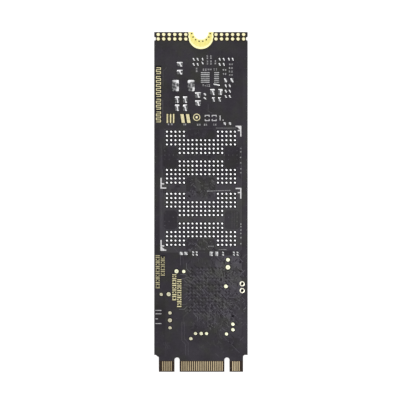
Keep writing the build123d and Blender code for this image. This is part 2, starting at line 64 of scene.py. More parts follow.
# The photograph covers 94.15 mm, and its centre lies a little left of the board's and above it
VIEW_WIDTH = 94.15 * MM
VIEW_CENTRE = Vector((-0.22 * MM, 0.47 * MM, BACK_Z))
LENS = 135.0
SENSOR = 36.0

# Faces that meet at less than SMOOTH_ANGLE look like one. Packages are rounded where faces meet at
# more than ROUNDED_ANGLE.
SMOOTH_ANGLE = math.radians(38)
ROUNDED_ANGLE = math.radians(40)

# How far copper under the mask, openings in the mask, and prints stand up
POUR_HEIGHT = 0.002 * MM
TRACE_HEIGHT = 0.012 * MM
OPENING_HEIGHT = 0.004 * MM
PRINT_HEIGHT = 0.016 * MM

# The four corners of a square, as sides across and up, in turn
CORNERS = ((1, 1), (-1, 1), (-1, -1), (1, -1))

# One seeded draw for all that varies from place to place
rng = random.Random(7)
vary = rng.uniform


# Materials


def plug(tree, socket, value):
    """Gives a node's input its value, which may be another node's output."""
    if isinstance(value, bpy.types.NodeSocket):
        tree.links.new(value, socket)
    else:
        socket.default_value = value


def feed(tree, node, **values):
    """Sets a node's inputs and settings by name. In an input's name, _ stands for a space."""
    for name, value in values.items():
        socket = node.inputs.get(name.replace("_", " "))
        if socket is None:
            setattr(node, name, value)
        else:
            plug(tree, socket, value)
    return node


def add(tree, kind, **values):
    """A new node with its inputs and settings."""
    return feed(tree, tree.nodes.new(kind), **values)


def new_material(name):
    """A material with one shader, and its node tree."""
    material = bpy.data.materials.new(name)
    material.use_nodes = True
    tree = material.node_tree
    tree.nodes.clear()
    shader = add(tree, "ShaderNodeBsdfPrincipled")
    add(tree, "ShaderNodeOutputMaterial", Surface=shader.outputs["BSDF"])
    return material, tree, shader


def object_noise(tree, scale, detail=3.0, stretch=(1.0, 1.0, 1.0)):
    """A noise over the object's own coordinates, from 0 to 1, in features per metre."""
    place = add(tree, "ShaderNodeTexCoord").outputs["Object"]
    mapped = add(tree, "ShaderNodeMapping", Vector=place, Scale=stretch).outputs["Vector"]
    return add(tree, "ShaderNodeTexNoise", Vector=mapped, Scale=scale, Detail=detail).outputs["Fac"]


def blend_colours(tree, factor, dark, light):
    """A colour between two. Each is three numbers or another node's colour."""
    dark, light = [(*end, 1.0) if isinstance(end, tuple) else end for end in (dark, light)]
    return add(tree, "ShaderNodeMix", data_type="RGBA", Factor=factor, A=dark, B=light).outputs["Result"]


def spread(tree, value, low, high, to_low=0.0, to_high=1.0):
    """The value's stretch from low to high, spread from to_low to to_high."""
    ends = {"From_Min": low, "From_Max": high, "To_Min": to_low, "To_Max": to_high}
    return add(tree, "ShaderNodeMapRange", Value=value, **ends).outputs["Result"]


def combine(tree, operation, first, second):
    """One number from two."""
    node = add(tree, "ShaderNodeMath", operation=operation)
    plug(tree, node.inputs[0], first)
    plug(tree, node.inputs[1], second)
    return node.outputs["Value"]


def tone(tree, base):
    """The tone that each point of a mesh was given, added to the material's own base."""
    stored = add(tree, "ShaderNodeAttribute", attribute_name="tone").outputs["Fac"]
    return combine(tree, "ADD", stored, base)


def bump(tree, shader, height, distance, strength):
    """Bump on the shader, its height in millimetres."""
    node = add(tree, "ShaderNodeBump", Height=height, Strength=strength, Distance=distance * MM)
    feed(tree, shader, Normal=node.outputs["Normal"])


# The mask in its two hues, each from the laminate's dark to the pale of thick copper beneath it
MASK_VIOLET_DARK = (0.0085, 0.0055, 0.0105)
MASK_VIOLET_LIGHT = (0.09, 0.084, 0.101)
MASK_OLIVE_DARK = (0.0085, 0.008, 0.006)
MASK_OLIVE_LIGHT = (0.093, 0.093, 0.088)
MASK_BASE = 0.185
LAMINATE_DARK = (0.012, 0.006, 0.003)
LAMINATE_LIGHT = (0.058, 0.032, 0.016)


def mask_colour(tree):
    """Near black, clouded in shade and in hue, and lighter over copper by the mesh's tone."""
    cloud = spread(tree, object_noise(tree, 190.0, 4.0), 0.25, 0.75, -0.1, 0.1)
    grain = spread(tree, object_noise(tree, 2300.0, 2.0), 0.3, 0.7, -0.035, 0.035)
    level = combine(tree, "ADD", combine(tree, "ADD", cloud, grain), tone(tree, MASK_BASE))
    violet = blend_colours(tree, level, MASK_VIOLET_DARK, MASK_VIOLET_LIGHT)
    olive = blend_colours(tree, level, MASK_OLIVE_DARK, MASK_OLIVE_LIGHT)
    hue = spread(tree, object_noise(tree, 340.0, 2.0), 0.42, 0.72)
    return blend_colours(tree, hue, violet, olive)


def finish_mask(tree, shader, colour):
    """The satin surface of a printed film, with faint orange peel."""
    rough = spread(tree, object_noise(tree, 900.0), 0.3, 0.7, 0.4, 0.52)
    feed(tree, shader, Base_Color=colour, Roughness=rough, Specular_IOR_Level=0.2)
    bump(tree, shader, object_noise(tree, 2200.0), 0.004, 0.5)


def mask_material():
    """Solder mask over traces and filled holes."""
    material, tree, shader = new_material("solder_mask_film")
    finish_mask(tree, shader, mask_colour(tree))
    return material


def board_material():
    """Mask on the board's faces, and woven laminate on its cut edges and where no film lies."""
    material, tree, shader = new_material("masked_laminate")
    place = add(tree, "ShaderNodeTexCoord").outputs["Object"]
    z = add(tree, "ShaderNodeSeparateXYZ", Vector=place).outputs["Z"]
    middle = (FRONT_Z + BACK_Z) / 2
    from_middle = combine(tree, "ABSOLUTE", combine(tree, "SUBTRACT", z, middle), 0.0)
    covered = combine(tree, "GREATER_THAN", from_middle, LAMINATE_BACK_Z - middle + 0.2 * FILM)
    bands = {"wave_type": "BANDS", "bands_direction": "Z", "Scale": 1100.0, "Distortion": 1.5}
    plies = add(tree, "ShaderNodeTexWave", Vector=place, **bands).outputs["Fac"]
    weave = spread(tree, plies, 0.0, 1.0, 0.15, 0.75)
    bare = blend_colours(tree, weave, LAMINATE_DARK, LAMINATE_LIGHT)
    finish_mask(tree, shader, blend_colours(tree, covered, bare, mask_colour(tree)))
    return material


def metal_material(name, slot, dark, light, roughness, grain=2500.0, stretch=(1.0, 1.0, 1.0)):
    """A bare metal, dark to light by tone and by a fine uneven finish."""
    material, tree, shader = new_material(name)
    noise = object_noise(tree, grain, 3.0, stretch)
    level = combine(tree, "ADD", tone(tree, 0.0), spread(tree, noise, 0.25, 0.75, -0.15, 0.15))
    fine = object_noise(tree, grain / 2, 2.0, stretch)
    rough = spread(tree, fine, 0.3, 0.7, roughness - 0.07, roughness + 0.07)
    feed(tree, shader, Base_Color=blend_colours(tree, level, dark, light), Metallic=1.0, Roughness=rough)
    bump(tree, shader, noise, 0.006, 0.35)
    return material


def plastic_material(name, slot, dark, light, roughness, grain=2500.0, height=0.004, specular=0.4, base=0.0):
    """A moulded, printed or fired surface with a fine grain, its height in millimetres."""
    material, tree, shader = new_material(name)
    shade = spread(tree, object_noise(tree, grain), 0.3, 0.7, -0.22, 0.22)
    colour = blend_colours(tree, combine(tree, "ADD", tone(tree, base), shade), dark, light)
    rough = spread(tree, object_noise(tree, grain / 3), 0.3, 0.7, roughness - 0.06, roughness + 0.06)
    feed(tree, shader, Base_Color=colour, Roughness=rough, Specular_IOR_Level=specular)
    bump(tree, shader, object_noise(tree, grain, 4.0), height, 0.6)
    return material


MASK = mask_material()
BOARD = board_material()
TIN = metal_material("tinned_solder", "tin", (0.06, 0.06, 0.064), (0.97, 0.97, 0.98), 0.28)
DOME_TIN = metal_material("domed_solder", "tin", (0.085, 0.085, 0.09), (0.97, 0.97, 0.98), 0.46)
PAD_GOLD = metal_material("pad_gold", "pad_gold", (0.78, 0.66, 0.09), (1.0, 0.97, 0.56), 0.34)
DOT_GOLD = metal_material("dot_gold", "pad_gold", (0.38, 0.29, 0.16), (1.0, 0.96, 0.6), 0.3)
POINT_GOLD = metal_material("point_gold", "pad_gold", (0.26, 0.2, 0.155), (0.97, 1.0, 0.72), 0.34)
RING_GOLD = metal_material("ring_gold", "tin", (0.38, 0.33, 0.26), (1.0, 0.99, 0.82), 0.34)
LEGEND_GOLD = metal_material("legend_gold", "pad_gold", (0.13, 0.11, 0.075), (0.92, 0.84, 0.5), 0.38)

# Brushed metals: the contacts along the drive, and the crystal's lid across it
CONTACT_TONES = ((0.19, 0.145, 0.082), (0.68, 0.56, 0.36))
CONTACT_GOLD = metal_material("contact_gold", "contact_gold", *CONTACT_TONES, 0.32, 1500.0, (3.0, 0.35, 1.0))
CAN_TONES = ((0.36, 0.35, 0.33), (0.8, 0.79, 0.75))
CAN = metal_material("crystal_can", "crystal_can", *CAN_TONES, 0.34, 3000.0, (0.4, 3.0, 1.0))

WHITE_INK = ("print_white", (0.1, 0.1, 0.105), (0.9, 0.89, 0.9), 0.6, 3000.0)
PRINT = plastic_material("white_print", *WHITE_INK)
MARK_PRINT = plastic_material("white_mark_print", *WHITE_INK, base=0.73)
DARK_TONES = ((0.002, 0.002, 0.003), (0.016, 0.015, 0.018))
OPENING = plastic_material("land_opening", "solder_mask", *DARK_TONES, 0.5, specular=0.1)
BROWN_TONES = ((0.01, 0.006, 0.002), (0.034, 0.022, 0.009))
BROWN_OPENING = plastic_material("gold_opening", "solder_mask", *BROWN_TONES, 0.5, specular=0.1)
MOULDING_TONES = ((0.01, 0.01, 0.01), (0.04, 0.04, 0.041))
MOULDING = plastic_material("moulding_compound", "moulding", *MOULDING_TONES, 0.55, 5200.0, 0.01, base=0.5)
SUBSTRATE_TONES = ((0.01, 0.026, 0.01), (0.05, 0.1, 0.04))
SUBSTRATE = plastic_material("package_laminate", "substrate", *SUBSTRATE_TONES, 0.45, base=0.5)
FERRITE_TONES = ((0.035, 0.035, 0.038), (0.12, 0.12, 0.126))
FERRITE = plastic_material("pressed_ferrite", "ferrite", *FERRITE_TONES, 0.62, 3600.0, 0.012)
CERAMIC_TONES = ((0.16, 0.095, 0.05), (0.42, 0.29, 0.17))
CERAMIC = plastic_material("capacitor_ceramic", "capacitor", *CERAMIC_TONES, 0.48, 2600.0, 0.006)
WHITE_TONES = ((0.42, 0.42, 0.4), (0.78, 0.77, 0.74))
WHITE_CERAMIC = plastic_material("white_ceramic", "resistor", *WHITE_TONES, 0.5, 2600.0, 0.005)
GLAZE_TONES = ((0.006, 0.006, 0.008), (0.03, 0.03, 0.036))
GLAZE = plastic_material("resistor_glaze", "resistor", *GLAZE_TONES, 0.28, 2600.0)
FUSE_TONES = ((0.02, 0.085, 0.035), (0.07, 0.2, 0.09))
FUSE_BODY = plastic_material("fuse_glaze", "fuse", *FUSE_TONES, 0.32, 2600.0)


# Meshes

def new_object(name, data):
    """A new object in the scene."""
    piece = bpy.data.objects.new(name, data)
    bpy.context.scene.collection.objects.link(piece)
    return piece


def grid_faces(rows, columns, around=False):
    """The faces of a grid of points held row by row, whose rows may run round."""
    faces = []
    for low in range(0, (rows - 1) * columns, columns):
        high = low + columns
        for column in range(columns if around else columns - 1):
            beside = (column + 1) % columns
            faces.append([low + column, low + beside, high + beside, high + column])
    return faces


class Shape:
    """A mesh under construction, with a tone for each point."""

    def __init__(self):
        self.points = []
        self.faces = []
        self.tones = []

    def add(self, points, faces, level):
        """Adds a separate closed form, whose faces count its own points from 0."""
        start = len(self.points)
        self.points += points
        self.faces += [[start + corner for corner in face] for face in faces]
        self.tones += level if isinstance(level, list) else [level] * len(points)

    def tube(self, points, columns, level):
        """Adds a form from rows of points that run round, closed across its first and last row."""
        count = len(points)
        ends = [list(range(columns)), list(range(count - columns, count))]
        self.add(points, grid_faces(count // columns, columns, True) + ends, level)

    def finish(self, name, material, smooth=True, replaces=None, slot=None):
        """Makes the object, its faces turned outwards, which rides on the drive's one body."""
        data = bpy.data.meshes.new(name)
        data.from_pydata(self.points, [], self.faces)
        work = bmesh.new()
        work.from_mesh(data)
        bmesh.ops.recalc_face_normals(work, faces=work.faces)
        work.to_mesh(data)
        work.free()
        data.attributes.new("tone", "FLOAT", "POINT").data.foreach_set("value", self.tones)
        piece = new_object(name, data)
        data.materials.append(material)
        if smooth:
            data.polygons.foreach_set("use_smooth", [True] * len(data.polygons))
            data.set_sharp_from_angle(angle=SMOOTH_ANGLE)
        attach(piece, "root")
        if replaces:
            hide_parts(replaces)


def lathe(shape, centre, profile, segments, level, up=1, size=(1, 1), squeeze=(1, 1), hollow=False):
    """A turned form from its profile of radius, height and share of the level, in parts of size.
    A solid one is closed across the profile's ends, and a hollow one's profile is closed on itself.
    up is -1 for a form that hangs below its centre."""
    points, tones = [], []
    for radius, height, share in profile:
        for step in range(segments):
            angle = 2 * math.pi * step / segments
            x = centre[0] + radius * size[0] * squeeze[0] * math.cos(angle)
            y = centre[1] + radius * size[0] * squeeze[1] * math.sin(angle)
            points.append((x, y, centre[2] + up * height * size[1]))
            tones.append(level * share)
    if hollow:
        faces = grid_faces(len(profile) + 1, segments, True)
        shape.add(points, [[corner % len(points) for corner in face] for face in faces], tones)
    else:
        shape.tube(points, segments, tones)


def ring(shape, centre, inner, outer, height, segments, level, up=1, base=0.0):
    """A flat ring from its base to its height over its centre."""
    section = [(inner, base, 1.0), (outer, base, 1.0), (outer, height, 1.0), (inner, height, 1.0)]
    lathe(shape, centre, section, segments, level, up, hollow=True)


def rounded_box(shape, low, high, radius, level, steps=2):
    """A box with rounded edges: rounded rectangles stacked from its lowest face to its highest."""
    middle_x, middle_y = (low[0] + high[0]) / 2, (low[1] + high[1]) / 2
    half_x, half_y = (high[0] - low[0]) / 2, (high[1] - low[1]) / 2
    radius = min(radius, 0.45 * (high[2] - low[2]), 0.9 * half_x, 0.9 * half_y)
    turns = [math.pi / 2 * step / steps for step in range(steps + 1)]
    levels = [(radius * math.sin(turn), low[2] + radius * (1 - math.cos(turn))) for turn in turns]
    levels += [(radius * math.cos(turn), high[2] - radius * (1 - math.sin(turn))) for turn in turns]
    points = []
    for reach, z in levels:
        reach = max(reach, 0.04 * radius)
        for quarter, (side_x, side_y) in enumerate(CORNERS):
            for turn in turns:
                angle = math.pi / 2 * quarter + turn
                x = middle_x + side_x * (half_x - radius) + reach * math.cos(angle)
                points.append((x, middle_y + side_y * (half_y - radius) + reach * math.sin(angle), z))
    shape.tube(points, 4 * (steps + 1), level)


def ribbon(shape, route, width, level, height=PRINT_HEIGHT, up=1):
    """A flat track along a route of x and y points, with sloping sides, on the back or, with up at
    -1, on the component side."""
    points = []
    z = BACK_Z if up > 0 else FRONT_Z
    for index, (x, y) in enumerate(route):
        here = Vector((x, y))
        before, after = Vector(route[max(index - 1, 0)]), Vector(route[min(index + 1, len(route) - 1)])
        arriving = (here - before) if index else (after - here)
        leaving = (after - here) if index < len(route) - 1 else arriving
        along = (arriving.normalized() + leaving.normalized()).normalized()
        across = Vector((-along.y, along.x)) / max(0.5, along.dot(arriving.normalized())) * width
        for share, rise in ((-0.5, 0.0), (-0.36, 1.0), (0.36, 1.0), (0.5, 0.0)):
            points.append((x + across.x * share, y + across.y * share, z + up * rise * height))
    shape.tube(points, 4, level)


def slab(shape, outline, height, level, z=BACK_Z, up=1, bevel=0.0):
    """A flat plate from its outline, with its upper edge drawn in by the bevel."""
    count = len(outline)
    middle = Vector((sum(x for x, _ in outline) / count, sum(y for _, y in outline) / count))
    points = [(x, y, z) for x, y in outline]
    if bevel:
        points += [(x, y, z + up * max(height - bevel, 0.3 * height)) for x, y in outline]
    for x, y in outline:
        inward = (middle - Vector((x, y))).normalized() * bevel
        points.append((x + inward.x, y + inward.y, z + up * height))
    shape.tube(points, count, level)


def bar(shape, low_x, high_x, low_y, high_y, height, level, z=BACK_Z, up=1, bevel=0.0):
    """A flat rectangular plate."""
    outline = [(low_x, low_y), (high_x, low_y), (high_x, high_y), (low_x, high_y)]
    slab(shape, outline, height, level, z, up, bevel)


def islands(node):
    """The lowest and highest corners of each separate solid of a node, row by row."""
    work = bmesh.new()
    work.from_mesh(nodes[node].data)
    bmesh.ops.remove_doubles(work, verts=work.verts, dist=1e-7)
    seen, found = set(), []
    for start in work.verts:
        if start in seen:
            continue
        seen.add(start)
        group, queue = [start], [start]
        while queue:
            for edge in queue.pop().link_edges:
                new = [vertex for vertex in edge.verts if vertex not in seen]
                seen.update(new)
                group += new
                queue += new
        spans = [sorted(vertex.co[axis] for vertex in group) for axis in range(3)]
        found.append([Vector([span[end] for span in spans]) for end in (0, -1)])
    work.free()
    return sorted(found, key=lambda box: (round(box[0].y, 6), round(box[0].x, 6)))


def softened(node, name, material, width):
    """A copy of a package with rounded edges, which stands for it."""
    piece = new_object(name, nodes[node].data.copy())
    piece.data.materials.clear()
    piece.data.materials.append(material)
    weld = piece.modifiers.new("weld", "WELD")
    weld.merge_threshold = 1e-6
    soft = piece.modifiers.new("soft_edges", "BEVEL")
    soft.width = width
    soft.segments = 3
    soft.limit_method = "ANGLE"
    soft.angle_limit = ROUNDED_ANGLE
    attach(piece, "root")
    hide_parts(node)


def dress(node, material):
    """Gives a node its material."""
    nodes[node].data.materials.clear()
    nodes[node].data.materials.append(material)


def smooth_step(value, low, high):
    """0 below low, 1 above high and a smooth rise between."""
    share = max(0.0, min(1.0, (value - low) / (high - low)))
    return share * share * (3 - 2 * share)


def millimetres(route):
    """A route in metres from its points in millimetres."""
    return [(x * MM, y * MM) for x, y in route]


# Round lands on the back, each with a dark ring round it where the mask stops short. Profiles are
# in parts of the radius and height, with shares of tone that paint light: a painted highlight on the
# crown, and painted shade on the sloping edge and in a dimple.

FLASH_OPENING_RADIUS = 0.43 * MM
FLASH_DOME = [
    (1.0, 0.0, 0.35), (0.98, 0.3, 0.45), (0.84, 0.66, 0.85), (0.6, 0.88, 1.0), (0.3, 0.98, 1.0),
    (0.08, 1.0, 1.0),
]
DOT_DOME = [(1.0, 0.0, 0.35), (0.97, 0.45, 0.45), (0.8, 0.85, 0.8), (0.5, 0.98, 1.0), (0.15, 1.0, 1.0)]
POINT_RIM = [(1.0, 0.0, 0.45), (0.97, 0.5, 0.55), (0.82, 0.9, 0.95)]
POINT_TOP = [(0.5, 1.0, 1.0), (0.15, 1.0, 1.0)]
POINT_DIMPLE = [(0.42, 1.0, 1.0), (0.32, 0.7, 0.55), (0.1, 0.5, 0.6)]
DIMPLED_RADIUS = 0.47 * MM


def round_lands(node, share=1.0):
    """The middle, a share of the radius, and the height of each round land of a node."""
    for low, high in islands(node):
        centre = ((low.x + high.x) / 2, (low.y + high.y) / 2, BACK_Z)
        yield centre, (high.x - low.x) / 2 * share, high.z - low.z


def flash_land_field(name, node):
    """The tinned lands of an unfitted flash package: a low dome of solder on each, no two alike."""
    domes, openings = Shape(), Shape()
    for centre, radius, rise in round_lands(node):
        rise *= vary(0.86, 1.0)
        radius *= vary(0.85, 0.89)
        lean = (vary(0.98, 1.02), vary(0.98, 1.02))
        lathe(domes, centre, FLASH_DOME, 16, vary(0.88, 1.0), size=(radius, rise), squeeze=lean)
        ring(openings, centre, radius * 0.9, FLASH_OPENING_RADIUS, OPENING_HEIGHT, 20, vary(0.0, 0.5))
    domes.finish(name, DOME_TIN, replaces=node)
    openings.finish(f"{name}_openings", OPENING)


def gold_dots():
    """The two rows of ground dots: domed gold."""
    dots, openings = Shape(), Shape()
    for centre, radius, rise in round_lands("ground_dots", 0.99):
        lathe(dots, centre, DOT_DOME, 24, vary(0.9, 1.0), size=(radius, rise))
        reach = min(radius * 1.5, TOP_Y - centre[1] - FILM)
        ring(openings, centre, radius * 0.95, reach, OPENING_HEIGHT, 24, vary(0.1, 0.4))
    dots.finish("gold_ground_dots", DOT_GOLD, replaces="ground_dots")
    openings.finish("ground_dot_openings", BROWN_OPENING)


def painted_gold_sheen(x, y):
    """How bright a gold point is: a painted sheen, weak towards the lower left and strong at the upper
    right.
    """
    return 0.3 + 0.66 * smooth_step(x + 0.55 * (y + 30 * MM), -9 * MM, 7 * MM)


def gold_test_points():
    """Round gold test points. The larger ones have a dimple."""
    points, openings = Shape(), Shape()
    for centre, radius, rise in round_lands("test_points", 0.9):
        # The level is painted sheen that grows from the lower left to the upper right.
        level = painted_gold_sheen(centre[0], centre[1]) * vary(0.96, 1.04)
        profile = POINT_RIM + (POINT_DIMPLE if radius > DIMPLED_RADIUS else POINT_TOP)
        lathe(points, centre, profile, 28, level, size=(radius, rise))
        ring(openings, centre, radius * 0.95, radius * 1.38, OPENING_HEIGHT, 28, vary(0.0, 0.3))
    points.finish("gold_test_points", POINT_GOLD, replaces="test_points")
    openings.finish("test_point_openings", OPENING)


def cream_rings():
    """The raised, rounded rings of the two plated holes, with the holes' walls and floors in near-black
    brown, painted shade deep in the holes.
    """
    rings, walls = Shape(), Shape()
    inner, hole, skin = 0.37 * MM, 0.3 * MM, 0.035 * MM
    depth = BACK_Z - LAMINATE_FRONT_Z
    for centre, radius, rise in round_lands("ringed_holes", 0.88):
        half = (radius - inner) / 2
        section = []
        for step in range(9):
            angle = math.pi * step / 8
            section.append((inner + half + half * math.cos(angle), rise * math.sin(angle) ** 0.7, 1.0))
        lathe(rings, centre, section, 32, 0.86, hollow=True)
        bottom = (centre[0], centre[1], LAMINATE_FRONT_Z)
        # The walls and floor take the darkest tone, painted shade inside the hole.
        ring(walls, bottom, hole - skin, hole, depth, 24, 0.0)
        floor = [(hole - skin, 0.0, 1.0), (hole - skin, 0.12 * depth, 1.0), (0.05 * MM, 0.1 * depth, 0.4)]
        lathe(walls, bottom, floor, 24, 0.0)
        ring(walls, centre, hole - skin, inner + skin, OPENING_HEIGHT, 24, 0.05)
    rings.finish("plated_hole_rings", RING_GOLD, replaces="ringed_holes")
    walls.finish("plated_hole_walls", BROWN_OPENING)


# Rectangular tinned lands on the back

def painted_highlight_band(u, v, lean, foot, highlight_strength):
    """The painted highlight at a place of a land, from -1 to 1 across and up: a band along
    its top edge, and a tail of the given strength that runs down towards its right foot. Where
    that strength is weak, a painted highlight corner lies at that foot."""
    band = smooth_step(v + 0.3 * lean * u, 0.5, 0.72)
    band *= highlight_strength + (1 - highlight_strength) * smooth_step(u * lean, -0.9, 0.4)
    corner = 1.6 * (1 - highlight_strength) * smooth_step(u - 0.3 * v, 0.45, 0.85) * smooth_step(-v, 0.0, 0.5)
    tail_top = 0.2 * lean
    tail_x = tail_top + (foot - tail_top) * (0.4 - v) / 1.4
    tail_half = 0.46 - 0.26 * smooth_step(-v, -0.5, 0.15) + 0.2 * smooth_step(-v, 0.45, 0.9)
    tail = 1 - smooth_step(abs(u - tail_x), tail_half * 0.5, tail_half * 1.1)
    tail *= 1 - 0.9 * (1 - highlight_strength) * math.exp(-(((v - 0.25) / 0.3) ** 2))
    return max(band, corner, highlight_strength * tail * (1 - smooth_step(v, 0.3, 0.6)))


def painted_highlight_streak(u, v, lean, foot, highlight_strength):
    """The painted highlight on a small or narrow land: one slanting streak from its top left."""
    across = abs(u + (foot + 0.12 * lean) * v)
    return highlight_strength * (0.88 + 0.12 * v) * (1 - smooth_step(across, 0.24, 0.66))


# Lands narrower than this take one slanting painted highlight, and longer ones than LARGE_LAND a weak
# painted highlight tail
SMALL_LAND = 0.97 * MM
LARGE_LAND = 1.6 * MM
LAND_CELL = 0.08 * MM


def tinned_land(shape, low, high, shade_level, highlight_level):
    """A low rectangular land of tin with rounded corners, raised most where its painted highlight
    lies. Its tones are painted light: a highlight on part of it and painted shade on the rest, with some
    mottle."""
    size_x, size_y = high.x - low.x, high.y - low.y
    columns, rows = max(9, int(size_x / LAND_CELL)), max(9, int(size_y / LAND_CELL))
    lean, foot, sway = vary(-1, 1), vary(0.3, 0.7), vary(0, math.tau)
    wide = size_x > 2 * size_y
    pattern = painted_highlight_streak if wide or max(size_x, size_y) < SMALL_LAND else painted_highlight_band
    highlight_strength, unevenness = 1.0, 0.07
    if size_y > LARGE_LAND:
        highlight_strength, unevenness = 0.45, 0.18
        highlight_level *= 0.9
    points, tones = [], []
    for row in range(rows):
        for column in range(columns):
            u, v = 2 * column / (columns - 1) - 1, 2 * row / (rows - 1) - 1
            pull = 1 - 0.05 * (u * v) ** 4
            painted_shine = pattern(v, u, lean, foot, highlight_strength) if wide else pattern(u, v, lean, foot, highlight_strength)
            crown = (1 - abs(u) ** 6) * (1 - abs(v) ** 6)
            height = 0.35 + 0.62 * crown * (0.25 + 0.75 * painted_shine)
            if max(abs(u), abs(v)) > 0.999:
                height = 0.25
            x = (low.x + high.x) / 2 + u * pull * size_x / 2
            y = (low.y + high.y) / 2 + v * pull * size_y / 2
            points.append((x, y, BACK_Z + (high.z - low.z) * height))
            mottle = unevenness * math.sin(4.6 * u + 2.9 * v + sway) * math.sin(7.3 * v - 2.3 * u + sway)
            mottle += vary(-0.07, 0.07)
            # Each point's tone runs from the painted shade level to the painted highlight level.
            tones.append(max(0.0, min(1.0, shade_level + mottle + (highlight_level - shade_level) * painted_shine)))
    count = len(points)
    rim = list(range(columns)) + list(range(2 * columns - 1, count, columns))
    rim += list(range(count - 2, count - columns - 1, -1))
    rim += list(range(count - 2 * columns, 0, -columns))
    faces = grid_faces(rows, columns) + [list(range(count, count + len(rim)))]
    for step, place in enumerate(rim):
        beside = (step + 1) % len(rim)
        faces.append([rim[beside], place, count + step, count + beside])
        points.append((*points[place][:2], BACK_Z))
        tones.append(shade_level)
    shape.add(points, faces, tones)


def land_opening(shape, low, high):
    """The dark gap between a rectangular land and the mask round it."""
    gap = 0.07 * MM
    bar(shape, low.x - gap, high.x + gap, low.y - gap, high.y + gap, OPENING_HEIGHT, vary(0.1, 0.6))


def tinned_lands(name, node, shade_level=0.07, highlight_level=1.0):
    """A group of rectangular tinned lands with their openings, toned from a painted shade level to a painted
    highlight level.
    """
    lands, openings = Shape(), Shape()
    for low, high in islands(node):
        tinned_land(lands, low, high, shade_level, highlight_level * vary(0.94, 1.0))
        land_opening(openings, low, high)
    lands.finish(name, TIN, replaces=node)
    openings.finish(f"{name}_openings", OPENING)


def regulator_bars():
    """The regulator's fine lands: flat bars of tin, and its one wider tab, which carries a painted
    highlight and painted shade.
    """
    lands, openings = Shape(), Shape()
    for low, high in islands("regulator_lands"):
        if high.y - low.y > 0.4 * MM:
            # 0.05 is the tab's painted shade level and 1.0 its painted highlight level.
            tinned_land(lands, low, high, 0.05, 1.0)
        else:
            rounded_box(lands, low, high, 0.024 * MM, vary(0.26, 0.44))
        land_opening(openings, low, high)
    lands.finish("tinned_regulator_lands", TIN, replaces="regulator_lands")
    openings.finish("regulator_land_openings", OPENING)


# The screw pad

DOT_ROWS = sorted({round((low.y + high.y) / 2, 6) for low, high in islands("ground_dots")})
PAD_FACES = ((LAMINATE_BACK_Z, 1), (LAMINATE_FRONT_Z, -1))


def hole_point(share):
    """The point at a share of the way round the half hole's wall."""
    angle = math.pi * (1 + share)
    return Vector((HOLE_RADIUS * math.cos(angle), TOP_Y + HOLE_RADIUS * math.sin(angle)))


def pad_edge_point(share):
    """The point at a share of the way round the screw pad's outer edge, which is drawn in a little
    beside each row of ground dots."""
    straight = TOP_Y - (PAD_LOW.y + PAD_RADIUS)
    curved = math.pi * PAD_RADIUS
    along = share * (2 * straight + curved)
    if along < straight:
        point = Vector((-PAD_RADIUS, TOP_Y - along))
    elif along > straight + curved:
        point = Vector((PAD_RADIUS, TOP_Y - straight + (along - straight - curved)))
    else:
        angle = math.pi * (1 + (along - straight) / curved)
        point = Vector((PAD_RADIUS * math.cos(angle), PAD_LOW.y + PAD_RADIUS * (1 + math.sin(angle))))
    drawn_in = sum(math.exp(-(((point.y - row) / (0.26 * MM)) ** 2)) for row in DOT_ROWS)
    side = min(1.0, abs(point.x) / (0.9 * PAD_RADIUS)) ** 8
    return Vector((point.x * (1 - 0.035 * drawn_in * side), point.y))


# The screw pad's section from the hole to its outer edge: share of the way, share of its height,
# and tone. Its outer rim is raised, and the tone paints a highlight on it and on the lip at the hole.
PAD_SECTION = [
    (0.0, 0.0, 0.5), (0.0, 0.8, 0.8), (0.04, 0.93, 0.9), (0.1, 0.84, 0.45), (0.5, 0.82, 0.36),
    (0.74, 0.82, 0.42), (0.8, 0.88, 0.85), (0.87, 1.0, 1.0), (0.94, 0.98, 1.0), (1.0, 0.8, 0.7),
    (1.0, 0.0, 0.5),
]
PAD_FIELD_HEIGHT = 0.82


def screw_pad():
    """The gold U round the half hole on both faces."""
    shape = Shape()
    stations = 120
    for base, up in PAD_FACES:
        points, tones = [], []
        for station in range(stations + 1):
            inner, outer = hole_point(station / stations), pad_edge_point(station / stations)
            for share, height, level in PAD_SECTION:
                points.append((*inner.lerp(outer, share), base + up * height * PAD_RISE))
                tones.append(level)
        shape.tube(points, len(PAD_SECTION), tones)
    shape.finish("gold_screw_pad", PAD_GOLD, replaces="mounting_pad")


def hole_plating():
    """The thin gold skin on the half hole's wall, which joins the pad's two faces."""
    shape = Shape()
    skin = 0.015 * MM
    low, high = LAMINATE_FRONT_Z - 0.5 * PAD_RISE, LAMINATE_BACK_Z + 0.5 * PAD_RISE
    steps = 48
    points = []
    for step in range(steps + 1):
        outer = hole_point(step / steps)
        inner = outer.lerp(Vector((0, TOP_Y)), skin / HOLE_RADIUS)
        points += [(*spot, z) for spot, z in ((outer, low), (outer, high), (inner, high), (inner, low))]
    shape.tube(points, 4, 0.4)
    shape.finish("half_hole_plating", PAD_GOLD)


# A filled hole of the pad, in millimetres and shares of tone. The tone paints its lip light and its sunken
# middle in shade.
PAD_VIA = [(0.18, 0.0, 1.0), (0.175, 0.004, 1.0), (0.1, 0.003, 0.4), (0.04, 0.002, 0.2)]
PAD_VIA_REACH = 2.2 * MM
PAD_VIA_ANGLE = 23.0


def pad_vias():
    """The eight small filled holes of the screw pad, on a ring round the half hole."""
    shape = Shape()
    for base, up in PAD_FACES:
        for step in range(8):
            angle = math.radians(-90 + (step - 3.5) * PAD_VIA_ANGLE)
            z = base + up * PAD_FIELD_HEIGHT * PAD_RISE
            centre = (PAD_VIA_REACH * math.cos(angle), TOP_Y + PAD_VIA_REACH * math.sin(angle), z)
            lathe(shape, centre, PAD_VIA, 14, 0.3, up, size=(MM, MM))
    shape.finish("screw_pad_vias", BROWN_OPENING)


